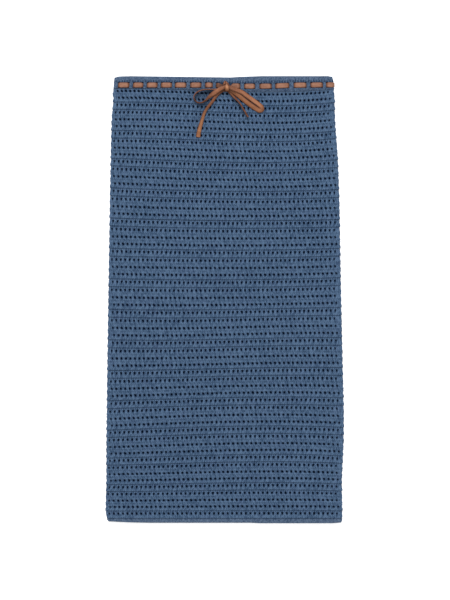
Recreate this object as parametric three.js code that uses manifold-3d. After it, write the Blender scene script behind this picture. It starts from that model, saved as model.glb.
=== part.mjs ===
/**
 * A straight knitted midi skirt with a leather drawstring, laid flat with its front up.
 *
 * Millimetres. The origin is on the surface that the skirt lies on, under the middle of its
 * outline. +X is to the right and +Y towards the waist, seen from above, and +Z is up.
 *
 * The skirt is a flattened tube. From the surface up it is the back panel, the two layers of a
 * plain lining, and the front panel, with rolled side edges where front and back are joined. A
 * plain band closes the waist and another the hem. A flat leather strap weaves through slots in
 * the waistband, all the way round, and is tied in a bow in front.
 */
import * as THREE from 'three';
import { mergeVertices } from 'three/addons/utils/BufferGeometryUtils.js';
import Module from 'manifold-3d';

// Cloth
const PANEL_WALL = 2.2;
const BAND_WALL = 2;
const LINING_WALL = 1;
const LAYER_GAP = 0.3;
const SEAM_GAP = 0.3;
const BODY_HEIGHT = 2 * PANEL_WALL + 2 * LINING_WALL + 3 * LAYER_GAP;

// Outline of the knit, as its left and right edges at each height
const SIDE_EDGES = [
  { y: 400, left: -196.6, right: 192.6 },
  { y: 396, left: -197.6, right: 193.3 },
  { y: 385, left: -198.1, right: 194.6 },
  { y: 367, left: -200.2, right: 195.7 },
  { y: 360, left: -199, right: 196.5 },
  { y: 321, left: -202.3, right: 197.2 },
  { y: 249, left: -203.8, right: 202.5 },
  { y: 178, left: -205.2, right: 204.9 },
  { y: 34, left: -207.5, right: 207.4 },
  { y: -109, left: -209.7, right: 210.6 },
  { y: -200, left: -210.8, right: 212.9 },
  { y: -252, left: -211.5, right: 212.6 },
  { y: -324, left: -211.5, right: 209.3 },
  { y: -378, left: -212.9, right: 210.2 },
  { y: -390, left: -210.8, right: 209.9 },
  { y: -400, left: -207.7, right: 209.7 },
];
const TOP_EDGE = [
  { x: -197, y: 397.6 },
  { x: -194, y: 398.9 },
  { x: -186, y: 399.6 },
  { x: -169, y: 399.9 },
  { x: -79, y: 398.8 },
  { x: 10, y: 397.6 },
  { x: 28, y: 398.6 },
  { x: 67, y: 400 },
  { x: 188, y: 400 },
  { x: 192, y: 399.2 },
];
const BOTTOM_EDGE = [
  { x: -210, y: -393 },
  { x: -206, y: -396.6 },
  { x: -169, y: -398.5 },
  { x: -133, y: -399.2 },
  { x: 46, y: -399.2 },
  { x: 64, y: -400 },
  { x: 189, y: -400 },
  { x: 206, y: -398.8 },
  { x: 209.5, y: -396.5 },
];
const HALF_WIDTH = 200.5;

// Knit rows, from the waist down: a repeat of four, the last two with a ledge above them
const ROW_COUNT = 59;
const FIRST_ROW_Y = 368.7;
const REPEAT = [
  { pitch: 12.71, ledge: false },
  { pitch: 12.36, ledge: false },
  { pitch: 13.25, ledge: true },
  { pitch: 13.79, ledge: true },
];
const ROW_STRETCH = [
  { y: 370, stretch: 0.971 },
  { y: 150, stretch: 1.011 },
  { y: 0, stretch: 1.024 },
  { y: -200, stretch: 0.987 },
  { y: -380, stretch: 0.944 },
];
// How far a row leaves a straight line, in terms of u = x / HALF_WIDTH:
// tilt u + bow u^2 + swirl u^3
const ROW_SAG = [
  { y: 369, tilt: -6.3, bow: 4.7, swirl: 6.1 },
  { y: 279, tilt: -6.3, bow: 4.7, swirl: 6.1 },
  { y: 240, tilt: -4.2, bow: 5.7, swirl: 2.7 },
  { y: 151, tilt: -1.3, bow: 3.2, swirl: -0.4 },
  { y: 77, tilt: -0.5, bow: 3, swirl: 0.7 },
  { y: 4, tilt: 1.8, bow: 2.5, swirl: -0.4 },
  { y: -50, tilt: 4.7, bow: 1.4, swirl: -3 },
  { y: -103, tilt: 4.8, bow: 0, swirl: -2.3 },
  { y: -205, tilt: 4.1, bow: -4, swirl: -1.3 },
  { y: -282, tilt: 4.5, bow: -3.6, swirl: -2.5 },
  { y: -332, tilt: 3, bow: -2.2, swirl: -2.3 },
  { y: -390, tilt: 0, bow: 0, swirl: 0 },
];
const LEDGE_RIB = 0.8;
const PLAIN_RIB = 0.6;
const EYELET_LINE = 0.25;
const LEDGE_ABOVE_EYELETS = 3.5;
const CREST_ABOVE_LEDGE_ROW = 8.4;
const CREST_ABOVE_PLAIN_ROW = 6.6;
const EDGE_SCALLOP = 0.5;
const WAIST_SEAM_ABOVE_ROW = 3.4;
const HEM_SEAM_Y = -390.8;

// Lining: where its edges end, and how many lines of points it has each way
const LINING_ABOVE_HEM_SEAM = 6;
const LINING_BELOW_FIRST_ROW = 3;
const LINING_LINES = 10;
const LINING_COLUMNS = 3;

// The waistband's turned top edge: distances below it, and the heights of its faces there
const TOP_TURN = [
  { below: 3.5, backOuter: 0.4, backInner: 2.4, frontInner: 6.2, frontOuter: 8.2 },
  { below: 1, backOuter: 0.2, backInner: 2, frontInner: 5.6, frontOuter: 7.4 },
  { below: 0, backOuter: 0.8, backInner: 1.8, frontInner: 5.2, frontOuter: 6.2 },
];

// The hem band: its lower edge is lifted, and its front swells between the edge and the seam,
// at shares of the way up to the seam
const HEM_LIFT = 0.7;
const HEM_LINES = [
  { share: 0.13, raised: 0.3 },
  { share: 0.5, raised: 0.6 },
  { share: 0.89, raised: 0.5 },
  { share: 1, raised: 0.2 },
];

// Drawstring
const STRAP_WIDTH = 9;
const STRAP_THICKNESS = 1.2;
const STRAP_GAP = 0.3;
const STRAP_EASE = { side: 0.5, face: 0.25 };
const STRAP_LINE = [
  { x: -200, y: 383.5 },
  { x: -20, y: 383.5 },
  { x: 10, y: 382 },
  { x: 45, y: 381.4 },
  { x: 85, y: 381.6 },
  { x: 120, y: 383.2 },
  { x: 200, y: 384 },
];
const KNOT_X = 3.8;
const FRONT_DASHES = [
  { from: -190.5, to: -170.7 },
  { from: -163.7, to: -145.8 },
  { from: -139.1, to: -120.3 },
  { from: -113.9, to: -94.7 },
  { from: -88.6, to: -68.8 },
  { from: -61.4, to: -41.9 },
  { from: -34.7, to: -21.8 },
  { from: -15.2, to: KNOT_X },
  { from: KNOT_X, to: 27.6 },
  { from: 35.1, to: 54.1 },
  { from: 62.5, to: 83.6 },
  { from: 90.8, to: 115.1 },
  { from: 123.6, to: 145.9 },
  { from: 153.6, to: 175.1 },
];
const LAST_DASH_FROM = 181.6;
const BACK_DASH_START = -187.5;
const BACK_DASH_PITCH = 27.4;
const BACK_DASH_LENGTH = 20.4;
const BACK_DASH_COUNT = 13;
const DIP_LENGTH = 2.6;
const SLOT_OVERRUN = 0.41;
const DASH_CROWN = 0.3;
const EDGE_EASE = 0.5; // the side edges slant by about this much across the strap's width

// The waistband stands off where the strap runs: its lowered and raised faces
const CHANNEL_LOW = STRAP_THICKNESS + STRAP_GAP;
const CHANNEL_CAVITY = 2 * STRAP_THICKNESS + 4 * STRAP_GAP;
const CHANNEL_REACH = STRAP_WIDTH / 2 + 0.7;

// Bow: the middle line of each strap, and its tilt about that line, in degrees.
// 0 lies flat, and -90 stands on edge with the left side, seen along the route, down.
const LEFT_LOOP = [
  { x: 3.5, y: 380, z: 17, tilt: -6 },
  { x: -3.2, y: 377.9, z: 17, tilt: -8 },
  { x: -10.4, y: 374.2, z: 16.6, tilt: -12 },
  { x: -19.3, y: 367.7, z: 15.4, tilt: -26 },
  { x: -27.6, y: 361.2, z: 14, tilt: -58 },
  { x: -34.6, y: 354.9, z: 13.2, tilt: -82 },
  { x: -41.7, y: 351.5, z: 13, tilt: -90 },
  { x: -48.9, y: 352, z: 13, tilt: -90 },
  { x: -53.9, y: 356.7, z: 13, tilt: -90 },
  { x: -55.2, y: 362.4, z: 13, tilt: -90 },
  { x: -51.6, y: 368.5, z: 13.3, tilt: -90 },
  { x: -44.4, y: 372.8, z: 13.9, tilt: -90 },
  { x: -34.6, y: 375.2, z: 14.1, tilt: -88 },
  { x: -24.5, y: 375.5, z: 13.4, tilt: -56 },
  { x: -15, y: 375.7, z: 13.2, tilt: -16 },
  { x: -6, y: 376.6, z: 13.9, tilt: -4 },
  { x: 3, y: 377.5, z: 14.1, tilt: -2 },
];
const RIGHT_LOOP = [
  { x: 3, y: 380.5, z: 15.4, tilt: -8 },
  { x: 9.3, y: 378.5, z: 15.3, tilt: -14 },
  { x: 17.4, y: 375.8, z: 14.7, tilt: -25 },
  { x: 31.3, y: 370.3, z: 12.9, tilt: -26 },
  { x: 38.9, y: 365, z: 12, tilt: -25 },
  { x: 46.2, y: 359.8, z: 11.4, tilt: -25 },
  { x: 53.4, y: 354.6, z: 11.2, tilt: -25 },
  { x: 61.2, y: 348.8, z: 11.2, tilt: -26 },
  { x: 66.4, y: 343.9, z: 11.3, tilt: -30 },
  { x: 66.9, y: 339.3, z: 11.3, tilt: -32 },
  { x: 62.3, y: 337.6, z: 11.3, tilt: -30 },
  { x: 54.8, y: 341.4, z: 11.2, tilt: -26 },
  { x: 47.3, y: 346.4, z: 11.2, tilt: -25 },
  { x: 40.1, y: 351.7, z: 11.2, tilt: -25 },
  { x: 33.1, y: 357.3, z: 11.2, tilt: -25 },
  { x: 25.8, y: 363.4, z: 11.3, tilt: -24 },
  { x: 18.3, y: 369.4, z: 11.7, tilt: -18 },
  { x: 10.2, y: 374.6, z: 12.3, tilt: -10 },
  { x: 3, y: 377.4, z: 12.6, tilt: -6 },
];
const LEFT_TAIL = [
  { x: 0, y: 374.8, z: 11.7, tilt: 0 },
  { x: -4.2, y: 373.5, z: 11.6, tilt: 0 },
  { x: -9.8, y: 369.6, z: 10.8, tilt: -3 },
  { x: -15.4, y: 363.7, z: 10, tilt: -5 },
  { x: -21.6, y: 353.8, z: 9.9, tilt: -10 },
  { x: -29.9, y: 343.2, z: 10.2, tilt: -18 },
  { x: -36.2, y: 332.5, z: 10.2, tilt: -18 },
  { x: -39.6, y: 321.7, z: 10, tilt: -16 },
  { x: -42.8, y: 311, z: 9.8, tilt: -12 },
  { x: -46, y: 300.2, z: 9.6, tilt: -4 },
  { x: -47.3, y: 290.4, z: 9.2, tilt: 0 },
];
const RIGHT_TAIL = [
  { x: 4.5, y: 373.8, z: 10.2, tilt: 0 },
  { x: 7.3, y: 369.8, z: 10.1, tilt: -5 },
  { x: 10.8, y: 365.4, z: 10.9, tilt: -24 },
  { x: 15.5, y: 361, z: 12.2, tilt: -48 },
  { x: 20, y: 357.6, z: 12.9, tilt: -66 },
  { x: 24.3, y: 354.2, z: 13.1, tilt: -77 },
  { x: 28.9, y: 348.4, z: 13.1, tilt: -80 },
  { x: 34.2, y: 339.3, z: 13.1, tilt: -78 },
  { x: 38.9, y: 331.2, z: 13.1, tilt: -77 },
  { x: 42.3, y: 326.2, z: 13.1, tilt: -76 },
];
const STEP_OF_ROUTE = 4.5;

// Knot: rings across it, each a rounded box, from the turned-under end to the folded top
const KNOT_RINGS = [
  { y: 372.3, x: 4.6, halfWidth: 2.2, low: 10.6, high: 14.6 },
  { y: 373.2, x: 4.5, halfWidth: 4.2, low: 9.8, high: 17 },
  { y: 375.5, x: 4.3, halfWidth: 5.8, low: 9.5, high: 19 },
  { y: 379.5, x: 4, halfWidth: 6.3, low: 9.5, high: 19.5 },
  { y: 383, x: 3.6, halfWidth: 5.6, low: 9.5, high: 18.2 },
  { y: 386.5, x: 2.9, halfWidth: 4, low: 9.5, high: 15 },
  { y: 389.6, x: 2.2, halfWidth: 2.4, low: 9.5, high: 12.6 },
  { y: 391, x: 1.9, halfWidth: 1.2, low: 9.7, high: 11.2 },
];
const KNOT_SIDES = 14;
const KNOT_SQUARENESS = 0.72;

// Facets
const ROLL_STEPS = 2;
const FLAT_COLUMNS = 10;

const KNIT = { color: 0x3f546f, roughness: 0.92, metalness: 0 };
const BAND = { color: 0x4a5f7c, roughness: 0.9, metalness: 0 };
const LINING = { color: 0x0d2138, roughness: 0.85, metalness: 0 };
const LEATHER = { color: 0xa8765a, roughness: 0.55, metalness: 0 };

const wasm = await Module();
wasm.setup();

/** Reads a table at a value of its key column, in a straight line between its rows. */
function read(table, key, at, column) {
  const rising = table[table.length - 1][key] > table[0][key];
  const rows = rising ? table : [...table].reverse();
  if (at <= rows[0][key]) {
    return rows[0][column];
  }
  for (let i = 1; i < rows.length; i += 1) {
    const [a, b] = [rows[i - 1], rows[i]];
    if (at <= b[key]) {
      return THREE.MathUtils.mapLinear(at, a[key], b[key], a[column], b[column]);
    }
  }
  return rows[rows.length - 1][column];
}

/** How far a knit row at height y has moved at x. */
function sag(x, y) {
  const u = x / HALF_WIDTH;
  const [tilt, bow, swirl] = ['tilt', 'bow', 'swirl'].map((name) => read(ROW_SAG, 'y', y, name));
  return tilt * u + bow * u ** 2 + swirl * u ** 3;
}

/** The heights of the eyelet rows, from the waist down, each with its kind of row. */
function knitRows() {
  const rows = [];
  let y = FIRST_ROW_Y;
  for (let i = 0; i < ROW_COUNT; i += 1) {
    const kind = REPEAT[i % REPEAT.length];
    if (i > 0) {
      y -= kind.pitch * read(ROW_STRETCH, 'y', y, 'stretch');
    }
    rows.push({ y, ledge: kind.ledge });
  }
  return rows;
}

/** The four faces of the flattened tube, from the surface up. */
function faces(backOuter, backInner, frontInner, frontOuter) {
  return { backOuter, backInner, frontInner, frontOuter };
}

const PANEL_FACES = faces(0, PANEL_WALL, BODY_HEIGHT - PANEL_WALL, BODY_HEIGHT);

/** A line of the tube across the skirt: its height at each x, its faces, and how far it is raised. */
function station(heightAt, tube, raised = 0) {
  return {
    heightAt,
    tube,
    raised,
    left: read(SIDE_EDGES, 'y', heightAt(-HALF_WIDTH), 'left'),
    right: read(SIDE_EDGES, 'y', heightAt(HALF_WIDTH), 'right'),
  };
}

/** A station of the panels, which follows the sag of the knit rows. */
function panelStation(y, raised = 0) {
  return station((x) => y + sag(x, y), PANEL_FACES, raised);
}

/** Places across the tube: up one rolled edge, along the flat, and down the other edge. */
function across() {
  const places = [];
  for (let i = 0; i < ROLL_STEPS; i += 1) {
    places.push({ side: -1, roll: i / ROLL_STEPS });
  }
  for (let i = 0; i <= FLAT_COLUMNS; i += 1) {
    places.push({ side: 0, roll: 1, share: i / FLAT_COLUMNS });
  }
  for (let i = ROLL_STEPS - 1; i >= 0; i -= 1) {
    places.push({ side: 1, roll: i / ROLL_STEPS });
  }
  return places;
}

/** The point of one face of the front or back half of the tube. The rolled edge is an arc. */
function tubePoint(line, place, half, layer) {
  const { tube } = line;
  const middle = (tube.backOuter + tube.frontOuter) / 2;
  const outerRadius = (tube.frontOuter - tube.backOuter) / 2;
  const innerRadius = (tube.frontInner - tube.backInner) / 2;
  const radius = layer === 'outer' ? outerRadius : innerRadius;
  const inset = outerRadius - radius;
  const angle = (place.roll * Math.PI) / 2;
  const fromEdge = inset + radius * (1 - Math.cos(angle));
  const raised = layer === 'outer' ? line.raised : 0;
  const scallop = EDGE_SCALLOP * (raised / LEDGE_RIB) * Math.cos(angle);
  const leftX = line.left + fromEdge - scallop;
  const rightX = line.right - fromEdge + scallop;
  const share = place.side === 0 ? place.share : (place.side + 1) / 2;
  const x = THREE.MathUtils.lerp(leftX, rightX, share);
  const reach = SEAM_GAP / 2 + (radius + raised - SEAM_GAP / 2) * Math.sin(angle);
  return new THREE.Vector3(x, line.heightAt(x), half === 'front' ? middle + reach : middle - reach);
}

/** A grid of points: one row for each station, one column for each place across. */
function tubeGrid(stations, half, layer) {
  return stations.map((line) => across().map((place) => tubePoint(line, place, half, layer)));
}

/** The border of a grid's vertex numbers as its four sides, counter-clockwise seen from outside. */
function borders(first, rows, columns) {
  const at = (row, column) => first + row * columns + column;
  const along = (count, number) => Array.from({ length: count }, (_, i) => number(i));
  return [
    along(columns, (i) => at(0, i)),
    along(rows, (i) => at(i, columns - 1)),
    along(columns, (i) => at(rows - 1, columns - 1 - i)),
    along(rows, (i) => at(rows - 1 - i, 0)),
  ];
}

/** Distances along a line of points, as shares of its length. */
function shares(line, points) {
  const lengths = [0];
  for (let i = 1; i < line.length; i += 1) {
    lengths.push(lengths[i - 1] + points[line[i]].distanceTo(points[line[i - 1]]));
  }
  return lengths.map((length) => length / lengths[lengths.length - 1]);
}

/** Triangles between two lines of vertices that run side by side. */
function zip(outer, inner, points, triangles) {
  const [outerShares, innerShares] = [shares(outer, points), shares(inner, points)];
  let [i, j] = [0, 0];
  while (i < outer.length - 1 || j < inner.length - 1) {
    const outerNext = i < outer.length - 1 ? outerShares[i + 1] : Infinity;
    const innerNext = j < inner.length - 1 ? innerShares[j + 1] : Infinity;
    if (outerNext <= innerNext) {
      triangles.push(outer[i + 1], outer[i], inner[j]);
      i += 1;
    } else {
      triangles.push(outer[i], inner[j], inner[j + 1]);
      j += 1;
    }
  }
}

/** The triangles of a grid of vertices. */
function gridTriangles(first, rows, columns, triangles, inward) {
  for (let row = 0; row < rows - 1; row += 1) {
    for (let column = 0; column < columns - 1; column += 1) {
      const a = first + row * columns + column;
      const [b, c, d] = [a + 1, a + columns + 1, a + columns];
      triangles.push(...(inward ? [a, c, b, a, d, c] : [a, b, c, a, c, d]));
    }
  }
}

/** A closed wall between an outer and an inner grid of points, whose corners match. */
function wall(outer, inner, facesDown = false) {
  const points = [...outer.flat(), ...inner.flat()];
  const triangles = [];
  const innerFirst = outer.length * outer[0].length;
  gridTriangles(0, outer.length, outer[0].length, triangles, false);
  gridTriangles(innerFirst, inner.length, inner[0].length, triangles, true);
  const innerBorders = borders(innerFirst, inner.length, inner[0].length);
  borders(0, outer.length, outer[0].length).forEach((side, i) => {
    zip(side, innerBorders[i], points, triangles);
  });
  const geometry = new THREE.BufferGeometry().setFromPoints(points);
  geometry.setIndex(facesDown ? triangles.reverse() : triangles);
  return geometry;
}

/** One half of a stretch of the tube. */
function tubeHalf(half, outerStations, innerStations = outerStations) {
  return wall(
    tubeGrid(outerStations, half, 'outer'),
    tubeGrid(innerStations, half, 'inner'),
    half === 'back',
  );
}

/** Evenly spaced values from one number to another. */
function spread(from, to, count) {
  return Array.from({ length: count }, (_, i) => THREE.MathUtils.lerp(from, to, i / (count - 1)));
}

const ROWS = knitRows();
const WAIST_SEAM_Y = FIRST_ROW_Y + WAIST_SEAM_ABOVE_ROW;
const PANEL_TOP_Y = WAIST_SEAM_Y - SEAM_GAP / 2;
const PANEL_BOTTOM_Y = HEM_SEAM_Y + SEAM_GAP / 2;

/** Stations of the ribbed face, from the hem up: each row's eyelet line, ledge and crest. */
function ribbedStations() {
  const stations = [panelStation(PANEL_BOTTOM_Y, EYELET_LINE)];
  [...ROWS].reverse().forEach((row, i, rows) => {
    stations.push(panelStation(row.y, EYELET_LINE));
    if (i < rows.length - 1) {
      const crest = row.ledge ? CREST_ABOVE_LEDGE_ROW : CREST_ABOVE_PLAIN_ROW;
      if (row.ledge) {
        stations.push(panelStation(row.y + LEDGE_ABOVE_EYELETS, 0));
      }
      stations.push(panelStation(row.y + crest, row.ledge ? LEDGE_RIB : PLAIN_RIB));
    }
  });
  stations.push(panelStation(PANEL_TOP_Y, EYELET_LINE));
  return stations;
}

/** Stations of a plain face of the panels, close enough to follow the outline. */
function plainPanelStations() {
  const heights = ROW_SAG.map((row) => row.y).filter((y) => y > PANEL_BOTTOM_Y && y < FIRST_ROW_Y);
  return [PANEL_TOP_Y, ...heights, PANEL_BOTTOM_Y].reverse().map((y) => panelStation(y));
}

function frontPanel() {
  return tubeHalf('front', ribbedStations(), plainPanelStations());
}

function backPanel() {
  return tubeHalf('back', plainPanelStations());
}

/** One layer of the lining, a plain slab inside the flat part of the tube. */
function lining(low) {
  const margin = BODY_HEIGHT / 2 + 2 * LAYER_GAP;
  const bottom = HEM_SEAM_Y + LINING_ABOVE_HEM_SEAM;
  const top = FIRST_ROW_Y - LINING_BELOW_FIRST_ROW;
  const grid = (z) => spread(bottom, top, LINING_LINES).map((y) => {
    const [left, right] = ['left', 'right'].map((side) => read(SIDE_EDGES, 'y', y, side));
    return spread(left + margin, right - margin, LINING_COLUMNS).map((x) => new THREE.Vector3(x, y, z));
  });
  return wall(grid(low + LINING_WALL), grid(low));
}

const strapY = (x) => read(STRAP_LINE, 'x', x, 'y');
const CHANNEL_BACK = CHANNEL_LOW + BAND_WALL;
const CHANNEL_FRONT = CHANNEL_BACK + CHANNEL_CAVITY;
const CHANNEL_TOP = CHANNEL_FRONT + BAND_WALL;

/** Stations of the waistband, from its seam up over the strap's channel to the turned top edge. */
function waistbandStations() {
  const channel = faces(CHANNEL_LOW, CHANNEL_BACK, CHANNEL_FRONT, CHANNEL_TOP);
  const top = (x) => read(TOP_EDGE, 'x', x, 'y');
  return [
    station((x) => WAIST_SEAM_Y + SEAM_GAP / 2 + sag(x, WAIST_SEAM_Y), PANEL_FACES),
    station((x) => strapY(x) - CHANNEL_REACH, channel),
    station((x) => strapY(x) + CHANNEL_REACH, channel),
    ...TOP_TURN.map(({ below, ...tube }) => station((x) => top(x) - below, tube)),
  ];
}

/** Stations of the hem band, with a rounded lower edge. */
function hemStations() {
  const bottom = (x) => read(BOTTOM_EDGE, 'x', x, 'y');
  const top = HEM_SEAM_Y - SEAM_GAP / 2;
  const { backInner, frontInner, frontOuter } = PANEL_FACES;
  const [lift, open] = [HEM_LIFT, HEM_LIFT / 2];
  const edge = faces(lift, backInner - open, frontInner + open, frontOuter - lift);
  return [
    station(bottom, edge),
    ...HEM_LINES.map(({ share, raised }) => (
      station((x) => THREE.MathUtils.lerp(bottom(x), top, share), PANEL_FACES, raised)
    )),
  ];
}

function hemBand(half) {
  const raised = hemStations();
  const stations = half === 'front' ? raised : raised.map((line) => ({ ...line, raised: 0 }));
  return tubeHalf(half, stations);
}

/** A closed geometry as a manifold-3d solid. */
function toSolid(geometry) {
  const bare = geometry.clone();
  bare.deleteAttribute('normal');
  bare.deleteAttribute('uv');
  const merged = mergeVertices(bare, 1e-4);
  return new wasm.Manifold(new wasm.Mesh({
    numProp: 3,
    vertProperties: Float32Array.from(merged.attributes.position.array),
    triVerts: Uint32Array.from(merged.index.array),
  }));
}

/** A manifold-3d solid as a geometry. */
function toGeometry(solid) {
  const mesh = solid.getMesh();
  const geometry = new THREE.BufferGeometry();
  geometry.setAttribute('position', new THREE.BufferAttribute(Float32Array.from(mesh.vertProperties), 3));
  geometry.setIndex(Array.from(mesh.triVerts));
  return geometry;
}

/** The dashes of the strap under the back of the waistband. */
function backDashes() {
  return Array.from({ length: BACK_DASH_COUNT }, (_, i) => {
    const from = BACK_DASH_START + i * BACK_DASH_PITCH;
    return { from, to: from + BACK_DASH_LENGTH };
  });
}

const LAST_BACK_DASH_FROM = BACK_DASH_START + BACK_DASH_COUNT * BACK_DASH_PITCH;

/** The places where the strap dips through a wall: +1 where it goes in on its way right. */
function dips(dashes, lastFrom) {
  const ends = dashes.flatMap(({ from, to }) => [
    { x: from, inward: -1 },
    { x: to, inward: 1 },
  ]);
  return [...ends.filter(({ x }) => x !== KNOT_X), { x: lastFrom, inward: -1 }];
}

/** A waistband half, with a slot for each dip of the strap. */
function waistband(half) {
  let solid = toSolid(tubeHalf(half, waistbandStations()));
  const isFront = half === 'front';
  const ends = isFront ? dips(FRONT_DASHES, LAST_DASH_FROM) : dips(backDashes(), LAST_BACK_DASH_FROM);
  const width = DIP_LENGTH + 2 * SLOT_OVERRUN;
  const wallHeight = (isFront ? CHANNEL_FRONT : CHANNEL_LOW) + BAND_WALL / 2;
  for (const { x, inward } of ends) {
    const slot = new THREE.BoxGeometry(width, STRAP_WIDTH + 2 * STRAP_GAP, 2 * BAND_WALL);
    const middle = x + inward * (SLOT_OVERRUN - width / 2);
    slot.translate(middle, strapY(middle), wallHeight);
    solid = solid.subtract(toSolid(slot));
  }
  return toGeometry(solid);
}

/** Heights of the strap's middle line: outside and inside the front and the back walls. */
const OVER_FRONT = CHANNEL_TOP + STRAP_GAP + STRAP_THICKNESS / 2;
const UNDER_FRONT = CHANNEL_FRONT - STRAP_GAP - STRAP_THICKNESS / 2;
const OVER_BACK = STRAP_THICKNESS / 2;
const UNDER_BACK = CHANNEL_BACK + STRAP_GAP + STRAP_THICKNESS / 2;

/** Points of a half turn round a side edge, from the front's height down to the back's. */
function edgeTurn(centreX, high, low, side) {
  const radius = (high - low) / 2;
  return spread(0, Math.PI, 7).map((angle) => ({
    x: centreX + side * radius * Math.sin(angle),
    z: low + radius + radius * Math.cos(angle),
  }));
}

/** Points of the strap at one end of a dash, where a step leads into the dash. */
function dashEnd(x, step, outside, inside) {
  if (x === KNOT_X) {
    return [{ x, z: outside }];
  }
  return [{ x, z: inside }, { x: x + step, z: outside }];
}

/** Points of one dash, from left to right. */
function dashPoints({ from, to }, outside, inside) {
  const crown = outside > inside ? DASH_CROWN : 0;
  return [
    ...dashEnd(from, DIP_LENGTH, outside, inside),
    { x: (from + to) / 2, z: outside + crown },
    ...dashEnd(to, -DIP_LENGTH, outside, inside).reverse(),
  ];
}

/** The strap's middle line: from the knot to the left, round the back, and back to the knot. */
function strapRoute() {
  const left = FRONT_DASHES.filter(({ from }) => from < KNOT_X).reverse();
  const right = FRONT_DASHES.filter(({ from }) => from >= KNOT_X).reverse();
  const outerRadius = (CHANNEL_TOP - CHANNEL_LOW) / 2;
  const leftTurn = read(SIDE_EDGES, 'y', strapY(-HALF_WIDTH), 'left') + outerRadius + EDGE_EASE;
  const rightTurn = read(SIDE_EDGES, 'y', strapY(HALF_WIDTH), 'right') - outerRadius + EDGE_EASE;
  return [
    ...left.flatMap((dash) => dashPoints(dash, OVER_FRONT, UNDER_FRONT).reverse()),
    ...edgeTurn(leftTurn, UNDER_FRONT, UNDER_BACK, -1),
    ...backDashes().flatMap((dash) => dashPoints(dash, OVER_BACK, UNDER_BACK)),
    { x: LAST_BACK_DASH_FROM, z: UNDER_BACK },
    { x: LAST_BACK_DASH_FROM + DIP_LENGTH, z: OVER_BACK },
    ...edgeTurn(rightTurn, OVER_FRONT, OVER_BACK, 1).reverse(),
    { x: LAST_DASH_FROM + DIP_LENGTH, z: OVER_FRONT },
    { x: LAST_DASH_FROM, z: UNDER_FRONT },
    ...right.flatMap((dash) => dashPoints(dash, OVER_FRONT, UNDER_FRONT).reverse()),
  ];
}

/** A flat strip along a route in x and z, with its width along y and mitred corners. */
function strip(route, width, thickness) {
  const direction = (a, b) => new THREE.Vector2(b.x - a.x, b.z - a.z).normalize();
  const rows = route.map((point, i) => {
    const before = direction(route[Math.max(i - 1, 0)], route[Math.max(i, 1)]);
    const after = direction(route[Math.min(i, route.length - 2)], route[Math.min(i + 1, route.length - 1)]);
    const along = before.clone().add(after).normalize();
    const mitre = thickness / 2 / along.dot(after);
    const corner = (sideY, sideZ) => new THREE.Vector3(
      point.x - sideZ * mitre * along.y,
      strapY(point.x) + (sideY * width) / 2,
      point.z + sideZ * mitre * along.x,
    );
    return [corner(1, 1), corner(1, -1), corner(-1, -1), corner(-1, 1)];
  });
  const triangles = [];
  for (let i = 0; i < rows.length - 1; i += 1) {
    for (let k = 0; k < 4; k += 1) {
      const [a, b] = [4 * i + k, 4 * i + ((k + 1) % 4)];
      triangles.push(a, b + 4, b, a, a + 4, b + 4);
    }
  }
  const last = 4 * (rows.length - 1);
  triangles.push(0, 1, 2, 0, 2, 3, last, last + 2, last + 1, last, last + 3, last + 2);
  const geometry = new THREE.BufferGeometry().setFromPoints(rows.flat());
  geometry.setIndex(triangles);
  return geometry;
}

/** A smooth route whose frames turn the strap's width by the tilt of each point. */
class StrapRoute extends THREE.CatmullRomCurve3 {
  constructor(table) {
    super(table.map(({ x, y, z }) => new THREE.Vector3(x, y, z)), false, 'centripetal');
    this.tilts = table.map(({ tilt }) => THREE.MathUtils.degToRad(tilt));
  }

  computeFrenetFrames(segments) {
    const frames = { tangents: [], normals: [], binormals: [] };
    for (let i = 0; i <= segments; i += 1) {
      const tangent = this.getTangentAt(i / segments);
      const place = this.getUtoTmapping(i / segments) * (this.tilts.length - 1);
      const before = Math.min(Math.floor(place), this.tilts.length - 2);
      const tilt = THREE.MathUtils.lerp(this.tilts[before], this.tilts[before + 1], place - before);
      const left = new THREE.Vector3(-tangent.y, tangent.x, 0).normalize();
      const up = new THREE.Vector3().crossVectors(tangent, left);
      const across = left.multiplyScalar(Math.cos(tilt)).addScaledVector(up, Math.sin(tilt));
      frames.tangents.push(tangent);
      frames.normals.push(across);
      frames.binormals.push(new THREE.Vector3().crossVectors(tangent, across));
    }
    return frames;
  }
}

/** The strap's section: a flat shape with eased edges. */
function strapSection() {
  const [side, face] = [STRAP_WIDTH / 2, STRAP_THICKNESS / 2];
  const [inSide, inFace] = [side - STRAP_EASE.side, face - STRAP_EASE.face];
  const corners = [[side, inFace], [inSide, face], [-inSide, face], [-side, inFace]];
  const below = corners.map(([x, y]) => [-x, -y]);
  return new THREE.Shape([...corners, ...below].map(([x, y]) => new THREE.Vector2(x, y)));
}

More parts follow.
